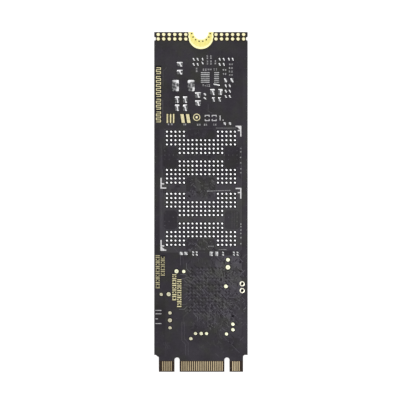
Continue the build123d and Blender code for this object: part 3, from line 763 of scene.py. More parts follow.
def contact_row(name, node, base, up):
    """Hard gold contacts with drawn-in edges, toned with painted light that is weaker towards the left."""
    shape = Shape()
    inset = 0.062 * MM
    for low, high in islands(node):
        # A painted light gradient: the contacts are darker towards the left and lighter towards the right.
        share = (low.x + SIDE_X) / (2 * SIDE_X)
        level = 0.44 + 0.48 * share + vary(-0.08, 0.08)
        bar(shape, low.x + inset, high.x - inset, low.y, high.y, high.z - low.z, level, base, up, 0.014 * MM)
    shape.finish(name, CONTACT_GOLD, smooth=False, replaces=node)


flash_land_field("tinned_field_upper", "flash_lands_upper")
flash_land_field("tinned_field_lower", "flash_lands_lower")
tinned_lands("tinned_power_lands", "power_lands")
# The filter lands' painted shade and painted highlight levels
tinned_lands("tinned_filter_lands", "filter_lands", 0.24, 0.72)
regulator_bars()
gold_dots()
screw_pad()
hole_plating()
pad_vias()
gold_test_points()
cream_rings()
contact_row("gold_contacts_back", "edge_contacts_back", LAMINATE_BACK_Z, 1)
contact_row("gold_contacts_front", "edge_contacts_front", LAMINATE_FRONT_Z, -1)


# Copper under the mask: pours, traces and filled holes, which show as faint relief

# The tables of places are in millimetres.

# Broad copper areas on the back, as low x, high x, low y, high y and tone
COPPER_POURS = [
    (-9.7, 9.55, 5.9, 17.35, 0.06),
    (-9.7, 9.55, -11.9, 5.9, 0.215),
    (9.85, 10.75, -33.5, 31.0, 0.05),
    (-4.3, 4.7, -29.2, -13.6, 0.06),
    (4.7, 9.6, -22.6, -13.0, 0.36),
    (4.7, 9.6, -32.0, -22.6, 0.12),
    (-8.6, 8.8, 21.9, 36.3, 0.01),
    (-4.9, 5.2, -35.9, -33.0, 0.02),
]

# Places on the back with little copper below, as low x, high x, low y, high y and tone
COPPER_GAPS = [
    (-8.9, -5.4, 8.0, 12.9, -0.06), (5.6, 9.0, 7.9, 13.3, -0.07), (-3.5, 3.4, 14.8, 17.1, -0.05),
    (3.3, 4.7, -18.6, -13.6, 0.38), (4.7, 9.6, -18.6, -13.0, 0.5), (3.3, 9.6, -13.0, -12.0, 0.36),
    (-3.5, 3.4, 2.2, 5.8, -0.04), (-6.3, 3.4, -0.6, 2.2, 0.26), (3.4, 5.5, -6.3, -2.1, 0.34),
    (-8.8, -5.6, -6.4, -2.0, 0.0), (5.6, 9.1, -6.4, -2.0, 0.04), (-3.5, 3.4, -11.8, -8.7, 0.03),
    (-10.8, -8.4, -36.4, -21.5, -0.06), (-10.8, -9.9, -21.5, 18.5, -0.05),
    (5.0, 9.2, -36.4, -34.2, -0.02),
]

# Fields of short traces on the back, as low x, high x, low y, high y, their count and their tone
TRACE_FIELDS = [
    (-3.3, 3.2, 0.6, 5.6, 60, 0.7), (-3.3, 3.2, -11.8, -8.9, 50, 0.7), (-3.3, 3.2, 15.1, 16.9, 14, 0.12),
    (-3.4, 8.9, -28.9, -13.9, 180, 0.4), (1.0, 8.4, -30.0, -21.5, 230, 0.6),
    (5.8, 8.8, -6.2, -2.2, 12, 0.12), (3.0, 9.2, -33.6, -28.4, 50, 0.2), (6.2, 10.4, -22.0, -12.9, 90, 0.72),
    (8.2, 10.4, -28.5, -19.5, 30, 0.6), (-2.6, 9.0, -35.6, -29.4, 40, 0.16),
    (2.4, 5.6, -20.5, -10.9, 50, 0.5), (-4.6, 4.4, 9.2, 11.4, 30, 0.26),
    (-4.6, 4.4, -5.4, -3.1, 30, 0.26),
]

# Single traces on the back, each as its width and its route
SINGLE_TRACES = [
    (0.22, [(7.1, -33.5), (9.1, -35.5)]),
    (0.16, [(5.2, -31.6), (7.1, -33.5)]),
    (0.14, [(-4.5, -28.2), (-4.5, -32.6), (-3.6, -33.5), (-3.6, -36.0)]),
    (0.14, [(-3.9, -28.2), (-3.9, -32.2), (-3.0, -33.1), (-3.0, -36.0)]),
    (0.14, [(7.4, -13.9), (7.4, -17.6), (8.0, -18.2), (8.0, -24.5)]),
    (0.16, [(-5.9, -10.4), (-4.2, -12.1), (-4.2, -14.6)]),
    (0.16, [(-6.6, -10.6), (-4.8, -12.4), (-4.8, -14.9)]),
    (0.2, [(-9.0, 24.0), (-9.0, 20.0)]),
    (0.18, [(-8.9, 27.4), (-8.9, 30.8), (-8.0, 31.7)]),
    (0.2, [(1.7, 23.1), (1.7, 21.4), (2.6, 20.9)]),
    (0.12, [(-9.35, 13.6), (-9.35, -6.6)]),
    (0.12, [(-9.05, 7.6), (-9.05, 1.2)]),
    (0.12, [(9.55, 13.2), (9.55, -11.2)]),
    (0.1, [(7.3, -2.2), (7.3, -6.2)]),
    (0.1, [(7.9, -2.2), (7.9, -6.2)]),
    (0.1, [(8.5, -2.2), (8.5, -6.2)]),
]

# Parallel traces on the back: start x and y, sideways shift, run along y, count and pitch
TRACE_GROUPS = [
    (-2.2, -14.4, -0.6, 1.6, 7, 0.42),
    (2.6, -14.4, 0.7, 1.4, 6, 0.4),
    (-0.4, -26.6, -0.5, -3.0, 5, 0.45),
    (2.4, -26.8, 0.9, -4.4, 6, 0.38),
    (-8.8, -33.0, 0.5, -1.4, 3, 0.5),
]

# Fields of small copper areas on the back: low x, high x, low y, high y, their count, and how much
# lighter or darker they are
PATCH_FIELDS = [
    (-3.3, 3.3, 0.5, 5.9, 34, 0.26), (-3.3, 3.3, -12.4, -8.9, 26, 0.26), (3.0, 9.4, -12.8, -11.2, 14, 0.24),
    (-9.4, -3.8, 1.4, 4.4, 8, 0.1), (3.2, 9.9, -21.5, -12.8, 34, 0.5), (-2.4, 8.6, -30.5, -14.5, 50, 0.14),
    (-3.3, 3.3, 14.9, 17.2, 8, 0.1), (-9.5, 9.5, -36.0, -30.5, 16, 0.07), (-9.0, 9.0, 21.5, 36.5, 18, 0.05),
]


def copper_pours():
    """Broad copper areas, a little paler through the mask, and the darker gaps in them, all with
    cut corners."""
    shape = Shape()
    areas = [(*area, POUR_HEIGHT) for area in COPPER_POURS]
    areas += [(*area, 1.5 * POUR_HEIGHT) for area in COPPER_GAPS]
    for low_x, high_x, low_y, high_y, level, height in areas:
        left, right, low, high = low_x * MM, high_x * MM, low_y * MM, high_y * MM
        cut = min(0.6 * MM, 0.3 * (right - left))
        outline = [(left + cut, low), (right - cut, low), (right, low + cut), (right, high - cut)]
        outline += [(right - cut, high), (left + cut, high), (left, high - cut), (left, low + cut)]
        slab(shape, outline, height, level)
    shape.finish("copper_pours", MASK, smooth=False)


def copper_patches():
    """Small copper areas of many sizes, which show through the mask, some lighter and some darker."""
    shape = Shape()
    for low_x, high_x, low_y, high_y, count, level in PATCH_FIELDS:
        for _ in range(count):
            wide, long = vary(0.25, 1.3) * MM, vary(0.25, 1.2) * MM
            x, y = vary(low_x * MM, high_x * MM - wide), vary(low_y * MM, high_y * MM - long)
            height = vary(1.6, 1.95) * POUR_HEIGHT
            bar(shape, x, x + wide, y, y + long, height, vary(-0.4, 1.0) * level)
    shape.finish("copper_patches", MASK, smooth=False)


def trace(shape, route, width, level, up=1):
    """A trace under the mask. No two are quite as high, so that crossing ones don't share a face."""
    ribbon(shape, route, width, level, TRACE_HEIGHT * vary(0.7, 1.1), up)


# A hole filled under the mask, a low dome with a dimple, in parts of its radius and height. Its shares of
# tone paint a highlight on the crown and shade at the edge and in the dimple.
FILLED_HOLE = [(1.0, 0.0, 0.5), (0.8, 0.8, 1.0), (0.5, 1.0, 1.0), (0.22, 0.55, 0.4), (0.08, 0.5, 0.3)]


def filled_hole(shape, x, y, radius, level, up=1):
    """A hole filled under the mask, on the back or, with up at -1, on the component side."""
    centre = (x, y, BACK_Z if up > 0 else FRONT_Z)
    lathe(shape, centre, FILLED_HOLE, 10, level, up, size=(radius, TRACE_HEIGHT * vary(1.2, 1.45)))


LAND_NODES = (
    "flash_lands_upper", "flash_lands_lower", "power_lands", "regulator_lands", "filter_lands",
    "test_points", "ringed_holes", "ground_dots", "mounting_pad",
)
LAND_BOXES = [box for node in LAND_NODES for box in islands(node)]


def clear_of_lands(x, y):
    """Whether a place on the back is clear of every land, so that a filled hole may lie there."""
    gap = 0.2 * MM
    return all(
        x < low.x - gap or x > high.x + gap or y < low.y - gap or y > high.y + gap
        for low, high in LAND_BOXES
    )


CONTROLLER_LOW, CONTROLLER_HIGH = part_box("controller_moulding")
CONTROLLER_CENTRE = (CONTROLLER_LOW + CONTROLLER_HIGH) / 2
CONTROLLER_PITCH = 0.8 * MM


def controller_fan_out():
    """Under the controller, on the back: a filled hole beside each ball, with a slanting trace that
    leads away from it, a dark gap alongside, and longer traces from the outer rows."""
    shape = Shape()
    nudge, hole_radius, width, gap_width = 0.06 * MM, 0.16 * MM, 0.16 * MM, 0.26 * MM
    missing, with_gap, carried_on = 0.14, 0.9, 0.6
    outer_row, outer_column = 5, 5
    for column in range(-6, 7):
        for row in range(-7, 7):
            if rng.random() < missing:
                continue
            x = CONTROLLER_CENTRE.x + column * CONTROLLER_PITCH + vary(-nudge, nudge)
            y = CONTROLLER_CENTRE.y + row * CONTROLLER_PITCH + vary(-nudge, nudge)
            filled_hole(shape, x, y, hole_radius, vary(0.2, 0.95))
            away_x, away_y = 1, -1
            if abs(column) >= outer_column:
                away_x, away_y = (1 if column >= 0 else -1), (1 if row >= 0 else -1)
            reach = rng.choice((0.45, 0.6, 0.9, 1.3)) * MM * 0.7
            route = [(x, y), (x + away_x * reach, y + away_y * reach)]
            if rng.random() < with_gap:
                gap = [(x + 0.16 * MM, y + 0.52 * MM), (x + 0.6 * MM, y + 0.08 * MM)]
                trace(shape, gap, gap_width, vary(-0.3, -0.16))
            if (abs(column) >= outer_column or abs(row) >= outer_row) and rng.random() < carried_on:
                straight = vary(0.6, 2.4) * MM
                end_x, end_y = route[-1]
                if abs(column) > abs(row):
                    route.append((end_x + away_x * min(straight, 1.2 * MM), end_y))
                else:
                    route.append((end_x, end_y + away_y * straight))
            trace(shape, route, width, vary(0.1, 0.9))
    shape.finish("controller_fan_out", MASK)


# Short traces: the grid they lie on, the ways they run, how near the edge they come, their width,
# and the filled holes in which a share of them end
TRACE_GRID = 0.2 * MM
SHORT_RUNS = ((1, -1), (1, -1), (1, -1), (1, 1), (0, 1))
TRACE_LIMIT_X = SIDE_X - 0.3 * MM
TRACE_WIDTH = 0.14 * MM
FILLED_RADIUS = 0.14 * MM
SHARE_WITH_HOLE = 0.4


def short_traces():
    """Fields of short traces on one grid that run straight or on a slant, some with a filled hole
    at an end."""
    shape = Shape()
    for low_x, high_x, low_y, high_y, count, level in TRACE_FIELDS:
        for _ in range(count):
            x = round(vary(low_x, high_x) * MM / TRACE_GRID) * TRACE_GRID
            y = round(vary(low_y, high_y) * MM / TRACE_GRID) * TRACE_GRID
            step_x, step_y = rng.choice(SHORT_RUNS)
            reach = rng.randint(1, 4) * TRACE_GRID
            end_x, end_y = x + step_x * reach, y + step_y * reach
            if clear_of_lands(x, y) and clear_of_lands(end_x, end_y) and end_x < TRACE_LIMIT_X:
                width = vary(0.12, 0.22) * MM
                trace(shape, [(x, y), (end_x, end_y)], width, level * vary(-0.8, 1.5))
                if rng.random() < SHARE_WITH_HOLE:
                    filled_hole(shape, end_x, end_y, FILLED_RADIUS, level * vary(0.4, 1.6))
    shape.finish("short_traces", MASK)


def back_traces():
    """Traces on the back outside the controller's field."""
    shape = Shape()
    for width, route in SINGLE_TRACES:
        trace(shape, millimetres(route), width * MM, vary(0.2, 0.42))
    for start_x, start_y, shift, run, count, pitch in TRACE_GROUPS:
        for index in range(count):
            x, turn_y = start_x + index * pitch, start_y + run * (0.3 + 0.05 * index)
            side_y = turn_y + math.copysign(abs(shift), run)
            route = [(x, start_y), (x, turn_y), (x + shift, side_y), (x + shift, side_y + run * 0.4)]
            trace(shape, millimetres(route), TRACE_WIDTH, vary(0.1, 0.26))
    shape.finish("back_traces", MASK)


def scattered_holes():
    """Filled holes between the flash lands, beside the fields and along the board's edges."""
    shape = Shape()
    places = []
    radius, from_edge, edge_pitch = 0.145 * MM, 0.62 * MM, 2.3
    edge_rows, loose_holes, aisle_share, field_share = 30, 90, 0.75, 0.3
    for node in ("flash_lands_upper", "flash_lands_lower"):
        low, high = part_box(node)
        middle = (low + high) / 2
        for column in range(-9, 9):
            for row in range(-7, 7):
                across, along = column + 0.5, row + 0.5
                in_aisle = abs(along) < 1 or abs(across) > 8
                if rng.random() < (aisle_share if in_aisle else field_share):
                    level = vary(0.14, 0.8) if in_aisle else vary(0.02, 0.14)
                    places.append((middle.x + across * MM, middle.y + along * MM, level))
    for step in range(edge_rows):
        for side in (-1, 1):
            x = side * (SIDE_X - from_edge) + vary(-0.05, 0.05) * MM
            places.append((x, (-33 + step * edge_pitch) * MM, vary(0.05, 0.2)))
    for _ in range(loose_holes):
        y = rng.choice((vary(-34, -12), vary(18, 36))) * MM
        places.append((vary(-9.2, 9.2) * MM, y, vary(0.04, 0.2)))
    for x, y, level in places:
        if clear_of_lands(x, y):
            filled_hole(shape, x, y, radius, level)
    shape.finish("filled_holes", MASK)


copper_pours()
copper_patches()
controller_fan_out()
short_traces()
back_traces()
scattered_holes()


# Printed and etched marks

# Small grey prints beside the unfitted parts, in millimetres, as y, width, length and each x
SMALL_PRINTS = [
    (31.4, 0.42, 0.34, -1.0), (30.8, 0.42, 0.34, -1.0),
    (34.35, 0.34, 0.34, 1.5, 2.35), (33.85, 0.34, 0.3, 1.5, 2.35),
    (33.1, 0.38, 0.36, 1.55, 2.35), (32.55, 0.38, 0.34, 1.55, 2.35),
    (33.15, 0.3, 0.4, 3.4), (32.6, 0.4, 0.3, 3.4),
    (31.15, 0.34, 0.42, 0.6, 1.15), (31.2, 0.42, 0.3, 1.75, 2.3), (31.2, 0.26, 0.46, 3.1, 3.65),
    (32.4, 0.34, 0.3, 6.8, 7.35), (31.55, 0.34, 0.36, 6.75, 7.3),
    (30.7, 0.3, 0.36, 6.7), (30.7, 0.42, 0.36, 7.3), (29.9, 0.34, 0.3, 6.8, 7.3),
    (31.1, 0.34, 0.32, 5.3), (31.1, 0.3, 0.32, 5.8), (30.15, 0.22, 0.3, 5.3), (30.15, 0.34, 0.36, 5.8),
    (27.5, 0.42, 0.42, 0.55), (27.35, 0.22, 0.22, 1.05), (27.4, 0.22, 0.5, 1.45), (27.4, 0.34, 0.56, 1.95),
    (18.3, 0.36, 0.34, -7.65), (18.3, 0.46, 0.36, -6.85), (18.25, 0.3, 0.34, -4.0),
    (18.25, 0.24, 0.34, -3.6),
    (18.2, 0.34, 0.36, -0.75, -0.25, 0.85, 1.3, 3.05), (18.2, 0.3, 0.36, 3.5),
    (12.6, 0.26, 0.26, 9.4), (11.8, 0.3, 0.26, 9.4), (10.5, 0.3, 0.26, 9.35), (9.2, 0.3, 0.26, 9.35),
]
SMALL_PRINTS += [(y, 0.26, 0.26, 9.4) for y in (7.8, 6.9, -5.2, -5.8, -6.6, -7.4, -8.4, -9.8)]

# Thin grey lines on the back, as width, tone and route
FAINT_LINES = [
    (0.1, 0.16, [(3.5, 17.4), (8.2, 17.4)]),
    (0.16, 0.18, [(1.4, 2.55), (7.0, 2.75)]),
    (0.12, 0.22, [(1.7, -10.4), (3.0, -10.4)]),
    (0.12, 0.16, [(4.2, -11.2), (6.0, -11.2)]),
]


def print_bar(shape, low_x, high_x, low_y, high_y, level, height=PRINT_HEIGHT):
    """One flat printed or etched bar on the back, in millimetres."""
    bar(shape, low_x * MM, high_x * MM, low_y * MM, high_y * MM, height, level)


def small_prints():
    """Small grey prints, each a bar below, a bar above and a stem, which read as nothing."""
    shape = Shape()
    line = 0.1
    for y, width, length, *places in SMALL_PRINTS:
        low, high = y - length / 2, y + length / 2
        for x in places:
            left, right = x - width / 2, x + width / 2
            level = vary(0.22, 0.46)
            print_bar(shape, left, right, low, low + line, level)
            print_bar(shape, left, right, high - line, high, level)
            print_bar(shape, x - line / 2, x + line / 2, low + line, high - line, level)
    for width, level, route in FAINT_LINES:
        ribbon(shape, millimetres(route), width * MM, level)
    shape.finish("small_prints", PRINT, smooth=False)


def ladder(shape, low_x, high_x, low_y, high_y, level, line=0.2):
    """A column of short bars, every third one split in two, in millimetres."""
    pitch = 0.42
    for step in range(int((high_y - low_y) / pitch) + 1):
        y = low_y + step * pitch
        own_level = level * vary(0.8, 1.15)
        spans = [(low_x, high_x)]
        if step % 3 == 1:
            middle = (low_x + high_x) / 2
            spans = [(low_x, middle - line), (middle + line, high_x)]
        for left, right in spans:
            print_bar(shape, left, right, y, y + line, own_level)


# The dark openings of the mask in which the gold marks lie, as low x, high x, low y and high y
MARK_BEDS = [
    (-10.72, -9.28, 18.7, 24.6), (-10.72, -9.28, 24.7, 29.8), (-10.72, -9.28, 30.05, 32.1),
    (-8.2, -5.98, 18.45, 20.85), (-4.95, -2.35, 18.5, 20.8), (-10.78, -9.58, -20.45, -12.55),
    (-9.55, -8.4, -17.45, -12.55), (-6.85, -5.7, -23.25, -17.0), (-5.7, -4.5, -24.85, -18.05),
]

# The long gold column's groups, as low and high y
GOLD_COLUMN_GROUPS = [(18.85, 21.4), (21.85, 24.4), (24.85, 29.65), (30.2, 31.95)]


def gold_column(shape):
    """The long column at the left edge: gold lines that run to and fro, in four groups."""
    pitch, line = 0.47, 0.17
    left, right = -10.56 + line / 2, -9.42 - line / 2
    for low, high in GOLD_COLUMN_GROUPS:
        route = []
        for turn in range(int((high - low) / pitch) + 1):
            ends = (left, right) if turn % 2 == 0 else (right, left)
            route += [(x, low + turn * pitch) for x in ends]
        ribbon(shape, millimetres(route), line * MM, 0.74)


def gold_marks():
    """Generic etched gold marks where the drive's lettering and badges were: test strips, a comb of
    three bars, two slanting blocks and a ring with a centre dot."""
    shape = Shape()
    gold_column(shape)
    for left, right in ((-8.05, -7.61), (-7.29, -6.86), (-6.57, -6.13)):
        middle = (left + right) / 2
        print_bar(shape, left, middle, 18.6, 20.72, 0.86)
        print_bar(shape, middle, right, 18.6, 20.72, 0.1)
    for left in (-4.85, -3.55):
        outline = [(left + 0.35, 18.62), (left + 1.1, 18.62), (left + 0.75, 20.68), (left, 20.68)]
        slab(shape, millimetres(outline), PRINT_HEIGHT, 0.7)
    centre = (-1.0 * MM, 19.95 * MM, BACK_Z)
    ring(shape, centre, 0.66 * MM, 0.84 * MM, PRINT_HEIGHT, 40, 0.75)
    dot = [(0.27 * MM, 0.0, 1.0), (0.27 * MM, PRINT_HEIGHT, 1.0), (0.1 * MM, PRINT_HEIGHT, 1.0)]
    lathe(shape, centre, dot, 24, 0.9)
    ladder(shape, -10.65, -9.7, -20.3, -12.7, 0.44)
    ladder(shape, -9.45, -8.5, -17.3, -12.7, 0.44)
    ladder(shape, -6.75, -5.8, -23.1, -17.2, 0.88, 0.165)
    ladder(shape, -5.6, -4.6, -24.7, -18.2, 0.86, 0.165)
    shape.finish("gold_marks", LEGEND_GOLD, smooth=False)
    beds = Shape()
    for edges in MARK_BEDS:
        print_bar(beds, *edges, vary(0.3, 0.8), OPENING_HEIGHT)
    beds.finish("gold_mark_openings", OPENING, smooth=False)


def white_marks():
    """Generic white marks: two part outlines, two short bars and four longer ones on the left."""
    shape = Shape()
    line, gap = 0.19, 0.25
    low, high = 19.15, 20.4
    middle = (low + high) / 2
    for left, right in ((1.0, 1.95), (2.65, 3.6)):
        for edge, stop in ((low, middle - gap), (high, middle + gap)):
            route = [(left, stop), (left, edge), (right, edge), (right, stop)]
            ribbon(shape, millimetres(route), line * MM, 0.6)
    print_bar(shape, 4.4, 4.62, 19.2, 20.35, 0.6)
    print_bar(shape, 5.1, 5.35, 19.15, 19.4, 0.6)
    for y, length in ((-25.6, 1.4), (-26.4, 1.4), (-27.6, 0.6), (-28.7, 1.4)):
        print_bar(shape, -10.7, -10.7 + length, y, y + 0.17, 0.4)
    shape.finish("white_marks", PRINT, smooth=False)


small_prints()
gold_marks()
white_marks()
dress("corner_marks", MARK_PRINT)
dress("circuit_board", BOARD)


# Packages on the component side

# A solder ball squashed between a package and the board, in parts of its width and height
BALL = [(0.38, 0.0, 1.0), (0.446, 0.18, 1.0), (0.5, 0.5, 1.0), (0.446, 0.82, 1.0), (0.38, 1.0, 1.0)]


def round_balls(name, node):
    """The solder balls of a package."""
    shape = Shape()
    for low, high in islands(node):
        centre = ((low.x + high.x) / 2, (low.y + high.y) / 2, low.z)
        lathe(shape, centre, BALL, 12, vary(0.55, 0.8), size=(high.x - low.x, high.z - low.z))
    shape.finish(name, TIN, replaces=node)


def solder_foot(shape, low, high, along, side):
    """The solder that climbs the end of a chip part from the board."""
    across = 1 - along
    reach, rise = 0.14 * MM, 0.55 * (high.z - low.z)
    end = high[along] if side > 0 else low[along]
    section = [(0, 0), (reach, 0), (0.45 * reach, 0.35 * rise), (0.12 * reach, 0.8 * rise), (0, rise)]
    points = []
    for place in (low[across] + 0.03 * MM, high[across] - 0.03 * MM):
        for out, drop in section:
            spot = {along: end + side * out, across: place}
            points.append((spot[0], spot[1], FRONT_Z - drop))
    shape.tube(points, len(section), 0.6)


# How chip parts are tinned: share of the length at each end, and how far the tin wraps the body
END_SHARE = 0.24
WRAP = 0.012 * MM
GLAZE_HEIGHT = 0.06 * MM


def respanned(low, high, axis, start, stop):
    """The corners of a box with new ends along one axis."""
    low, high = low.copy(), high.copy()
    low[axis], high[axis] = start, stop
    return low, high


def chip_parts(name, node, material, glazed=False):
    """Chip parts: a body between two tinned ends that wrap it, with solder drawn up to each end.
    A glazed one has a dark glaze over its outer face."""
    bodies, ends, glazes = Shape(), Shape(), Shape()
    for low, high in islands(node):
        along = 0 if high.x - low.x > high.y - low.y else 1
        start, stop = low[along], high[along]
        length = END_SHARE * (stop - start)
        inner_low, inner_high = low + Vector((WRAP, WRAP, WRAP)), high - Vector((WRAP, WRAP, 0))
        rounded_box(bodies, inner_low, inner_high, 0.03 * MM, vary(0.3, 0.7))
        for side, near, far in ((-1, start, start + length), (1, stop - length, stop)):
            rounded_box(ends, *respanned(low, high, along, near, far), 0.05 * MM, vary(0.6, 0.85))
            solder_foot(ends, low, high, along, side)
        if glazed:
            glaze_low, glaze_high = respanned(low, high, along, start + length, stop - length)
            glaze_high.z = low.z + GLAZE_HEIGHT
            rounded_box(glazes, glaze_low, glaze_high, 0.02 * MM, vary(0.3, 0.7))
    bodies.finish(name, material, replaces=node)
    ends.finish(f"{name}_ends", TIN)
    if glazed:
        glazes.finish(f"{name}_glaze", GLAZE)


def leadless_package(name, node, per_side, pitch, axes=(0, 1)):
    """A small moulded package with tinned tabs along its sides and a round mark at its first one.
    axes are the directions along which rows of tabs run."""
    body, tabs = Shape(), Shape()
    half_tab, stand_out, tab_height = 0.12 * MM, 0.09 * MM, 0.2 * MM
    mark_in, mark_inner, mark_outer = 0.45 * MM, 0.14 * MM, 0.2 * MM
    for low, high in islands(node):
        middle = (low + high) / 2
        rounded_box(body, low, high, 0.05 * MM, 0.0, 3)
        for side in (-1, 1):
            for axis in axes:
                edge = high[1 - axis] if side > 0 else low[1 - axis]
                for place in range(per_side):
                    at = middle[axis] + (place - (per_side - 1) / 2) * pitch * MM
                    tab_low, tab_high = respanned(low, high, axis, at - half_tab, at + half_tab)
                    tab_low[1 - axis], tab_high[1 - axis] = edge - stand_out, edge + stand_out
                    tab_low.z = high.z - tab_height
                    rounded_box(tabs, tab_low, tab_high, 0.02 * MM, vary(0.5, 0.8))
        mark = (low.x + mark_in, high.y - mark_in, low.z)
        ring(body, mark, mark_inner, mark_outer, 0.006 * MM, 20, 0.4, -1, -0.01 * MM)
    body.finish(name, MOULDING, replaces=node)
    tabs.finish(f"{name}_tabs", TIN)


def wound_inductors():
    """Pressed ferrite blocks with a flat tinned end plate each side."""
    body, plates = Shape(), Shape()
    inset, thickness, height = Vector((0, 0.35 * MM, 0)), 0.06 * MM, 0.45 * MM
    for low, high in islands("power_inductors"):
        rounded_box(body, low, high, 0.12 * MM, 0.4, 3)
        for side in (-1, 1):
            edge = high.x if side > 0 else low.x
            plate_low, plate_high = low + inset, high - inset
            plate_low.x, plate_high.x = sorted((edge, edge + side * thickness))
            plate_low.z = high.z - height
            rounded_box(plates, plate_low, plate_high, 0.02 * MM, 0.7)
            solder_foot(plates, low + inset, high - inset, 0, side)
    body.finish("ferrite_inductors", FERRITE, replaces="power_inductors")
    plates.finish("inductor_end_plates", TIN)


def crystal_package():
    """A ceramic base with a brushed metal lid welded on it."""
    base, lid = Shape(), Shape()
    low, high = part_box("crystal")
    split = low.z + 0.4 * (high.z - low.z)
    rim = 0.1 * MM
    rounded_box(base, (low.x, low.y, split), high, 0.06 * MM, 0.35, 3)
    lid_high = (high.x - rim, high.y - rim, split + 0.02 * MM)
    rounded_box(lid, (low.x + rim, low.y + rim, low.z), lid_high, 0.09 * MM, 0.6, 4)
    base.finish("crystal_base", WHITE_CERAMIC, replaces="crystal", slot="crystal_can")
    lid.finish("crystal_lid", CAN)


for place in ("upper", "lower"):
    softened(f"flash_moulding_{place}", f"flash_package_{place}", MOULDING, 0.03 * MM)
    dress(f"flash_substrate_{place}", SUBSTRATE)
    round_balls(f"round_flash_balls_{place}", f"flash_balls_{place}")
softened("controller_moulding", "controller_package", MOULDING, 0.03 * MM)
dress("controller_substrate", SUBSTRATE)
round_balls("round_controller_balls", "controller_balls")
for kind in ("bulk", "decoupling", "coupling"):
    chip_parts(f"{kind}_capacitor_chips", f"{kind}_capacitors", CERAMIC)
chip_parts("resistor_chips", "resistors", WHITE_CERAMIC, glazed=True)
chip_parts("input_fuse_chip", "input_fuse", FUSE_BODY)
leadless_package("power_chip_package", "power_chip", 6, 0.5)
leadless_package("load_switch_package", "load_switch", 3, 0.5)
leadless_package("settings_memory_package", "settings_memory", 4, 0.65, axes=(1,))
wound_inductors()
crystal_package()


# Relief and prints on the component side

OUTLINED_NODES = (
    "power_inductors", "power_chip", "load_switch", "settings_memory", "crystal", "input_fuse",
    "controller_moulding", "flash_moulding_upper", "flash_moulding_lower", "bulk_capacitors",
)


def front_traces():
    """Traces from the controller to the contacts and to the flash, and filled holes."""
    shape = Shape()
    contact_end, flash_end = TIP_Y + 2.6 * MM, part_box("flash_moulding_lower")[0].y + MM
    to_contacts, to_flash, holes = 8, 12, 160
    routes = []
    for index in range(to_contacts):
        x, end_x = (-0.6 + index * 0.55) * MM, (-3.4 + index) * MM
        routes.append((x, end_x, CONTROLLER_LOW.y, -(0.6 + 0.12 * index) * MM, contact_end))
    for index in range(to_flash):
        place = index - (to_flash - 1) / 2
        x, end_x = CONTROLLER_CENTRE.x + place * 0.62 * MM, (place + 0.3) * MM
        routes.append((x, end_x, CONTROLLER_HIGH.y, (0.5 + 0.1 * abs(place)) * MM, flash_end))
    for x, end_x, start, run, stop in routes:
        turn = start + run
        route = [(x, start), (x, turn), (end_x, turn + math.copysign(end_x - x, run)), (end_x, stop)]
        trace(shape, route, TRACE_WIDTH, 0.16, -1)
    for _ in range(holes):
        x, y = vary(-10.2, 10.2) * MM, vary(-35.0, 35.0) * MM
        filled_hole(shape, x, y, FILLED_RADIUS, vary(0.05, 0.2), -1)
    shape.finish("front_traces", MASK)


def front_prints():
    """White corner brackets round the parts."""
    shape = Shape()
    gap, arm, line = 0.22 * MM, 0.55 * MM, 0.1 * MM
    for node in OUTLINED_NODES:
        for low, high in islands(node):
            for side_x, side_y in ((-1, -1), (-1, 1), (1, -1), (1, 1)):
                x = (high.x + gap) if side_x > 0 else (low.x - gap)
                y = (high.y + gap) if side_y > 0 else (low.y - gap)
                if abs(x) < SIDE_X - line:
                    route = [(x - side_x * arm, y), (x, y), (x, y - side_y * arm)]
                    ribbon(shape, route, line, 0.75, up=-1)
    shape.finish("front_prints", PRINT, smooth=False)


front_traces()
front_prints()


# Stage

def light_path_share(tree):
    """1 for rays that show the surroundings directly, in a mirror or through glass, else 0."""
    path = add(tree, "ShaderNodeLightPath")
    seen = combine(tree, "MAXIMUM", path.outputs["Is Camera Ray"], path.outputs["Is Glossy Ray"])
    return combine(tree, "MAXIMUM", seen, path.outputs["Is Transmission Ray"])


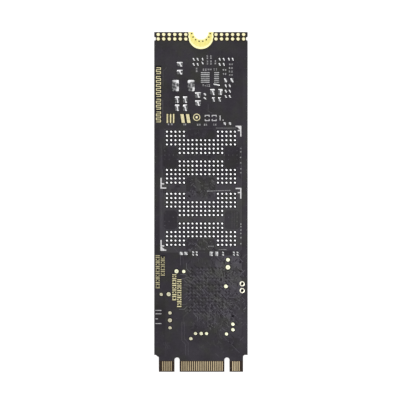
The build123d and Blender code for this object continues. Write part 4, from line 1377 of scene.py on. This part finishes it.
def plain_floor():
    """A large pale floor that reads as white and keeps a faint shadow of the drive."""
    half, level = 3.0, -0.02 * MM
    data = bpy.data.meshes.new("floor")
    data.from_pydata([(x * half, y * half, level) for x, y in CORNERS], [], [(0, 1, 2, 3)])
    material, tree, shader = new_material("pale_floor")
    feed(tree, shader, Base_Color=(0.26, 0.26, 0.26, 1), Roughness=0.9, Specular_IOR_Level=0.1)
    strength = combine(tree, "MULTIPLY", light_path_share(tree), 0.94)
    glow = add(tree, "ShaderNodeEmission", Strength=strength).outputs["Emission"]
    total = add(tree, "ShaderNodeAddShader")
    surface = shader.outputs["BSDF"].links[0].to_socket
    plug(tree, surface, total.outputs["Shader"])
    plug(tree, total.inputs[0], shader.outputs["BSDF"])
    plug(tree, total.inputs[1], glow)
    data.materials.append(material)
    new_object("floor", data)


def plain_world():
    """A white surrounding that lights the drive at a plain level."""
    world = bpy.data.worlds.new("white_room")
    bpy.context.scene.world = world
    world.use_nodes = True
    tree = world.node_tree
    tree.nodes.clear()
    level = spread(tree, light_path_share(tree), 0.0, 1.0, 0.55, 1.0)
    background = add(tree, "ShaderNodeBackground", Color=(1, 1, 1, 1), Strength=level)
    add(tree, "ShaderNodeOutputWorld", Surface=background.outputs["Background"])


def soft_lamp(name, place, size, power):
    """A square soft lamp that faces the middle of the drive."""
    lamp = bpy.data.lights.new(name, "AREA")
    lamp.shape = "SQUARE"
    lamp.size = size
    lamp.energy = power
    holder = new_object(name, lamp)
    holder.location = place
    holder.rotation_euler = (-Vector(place)).to_track_quat("-Z", "Y").to_euler()


def camera():
    """A long lens looking straight down on the back of the drive."""
    data = bpy.data.cameras.new("camera")
    data.lens = LENS
    data.sensor_width = SENSOR
    data.clip_start = 0.01
    data.clip_end = 20.0
    holder = new_object("camera", data)
    holder.location = VIEW_CENTRE + Vector((0, 0, VIEW_WIDTH * LENS / SENSOR))
    bpy.context.scene.camera = holder


plain_floor()
plain_world()
soft_lamp("key_lamp", (0.22, -0.16, 0.3), 0.16, 0.7)
soft_lamp("fill_lamp", (-0.24, 0.2, 0.3), 0.2, 0.45)
camera()
bpy.context.scene.view_settings.view_transform = "Standard"
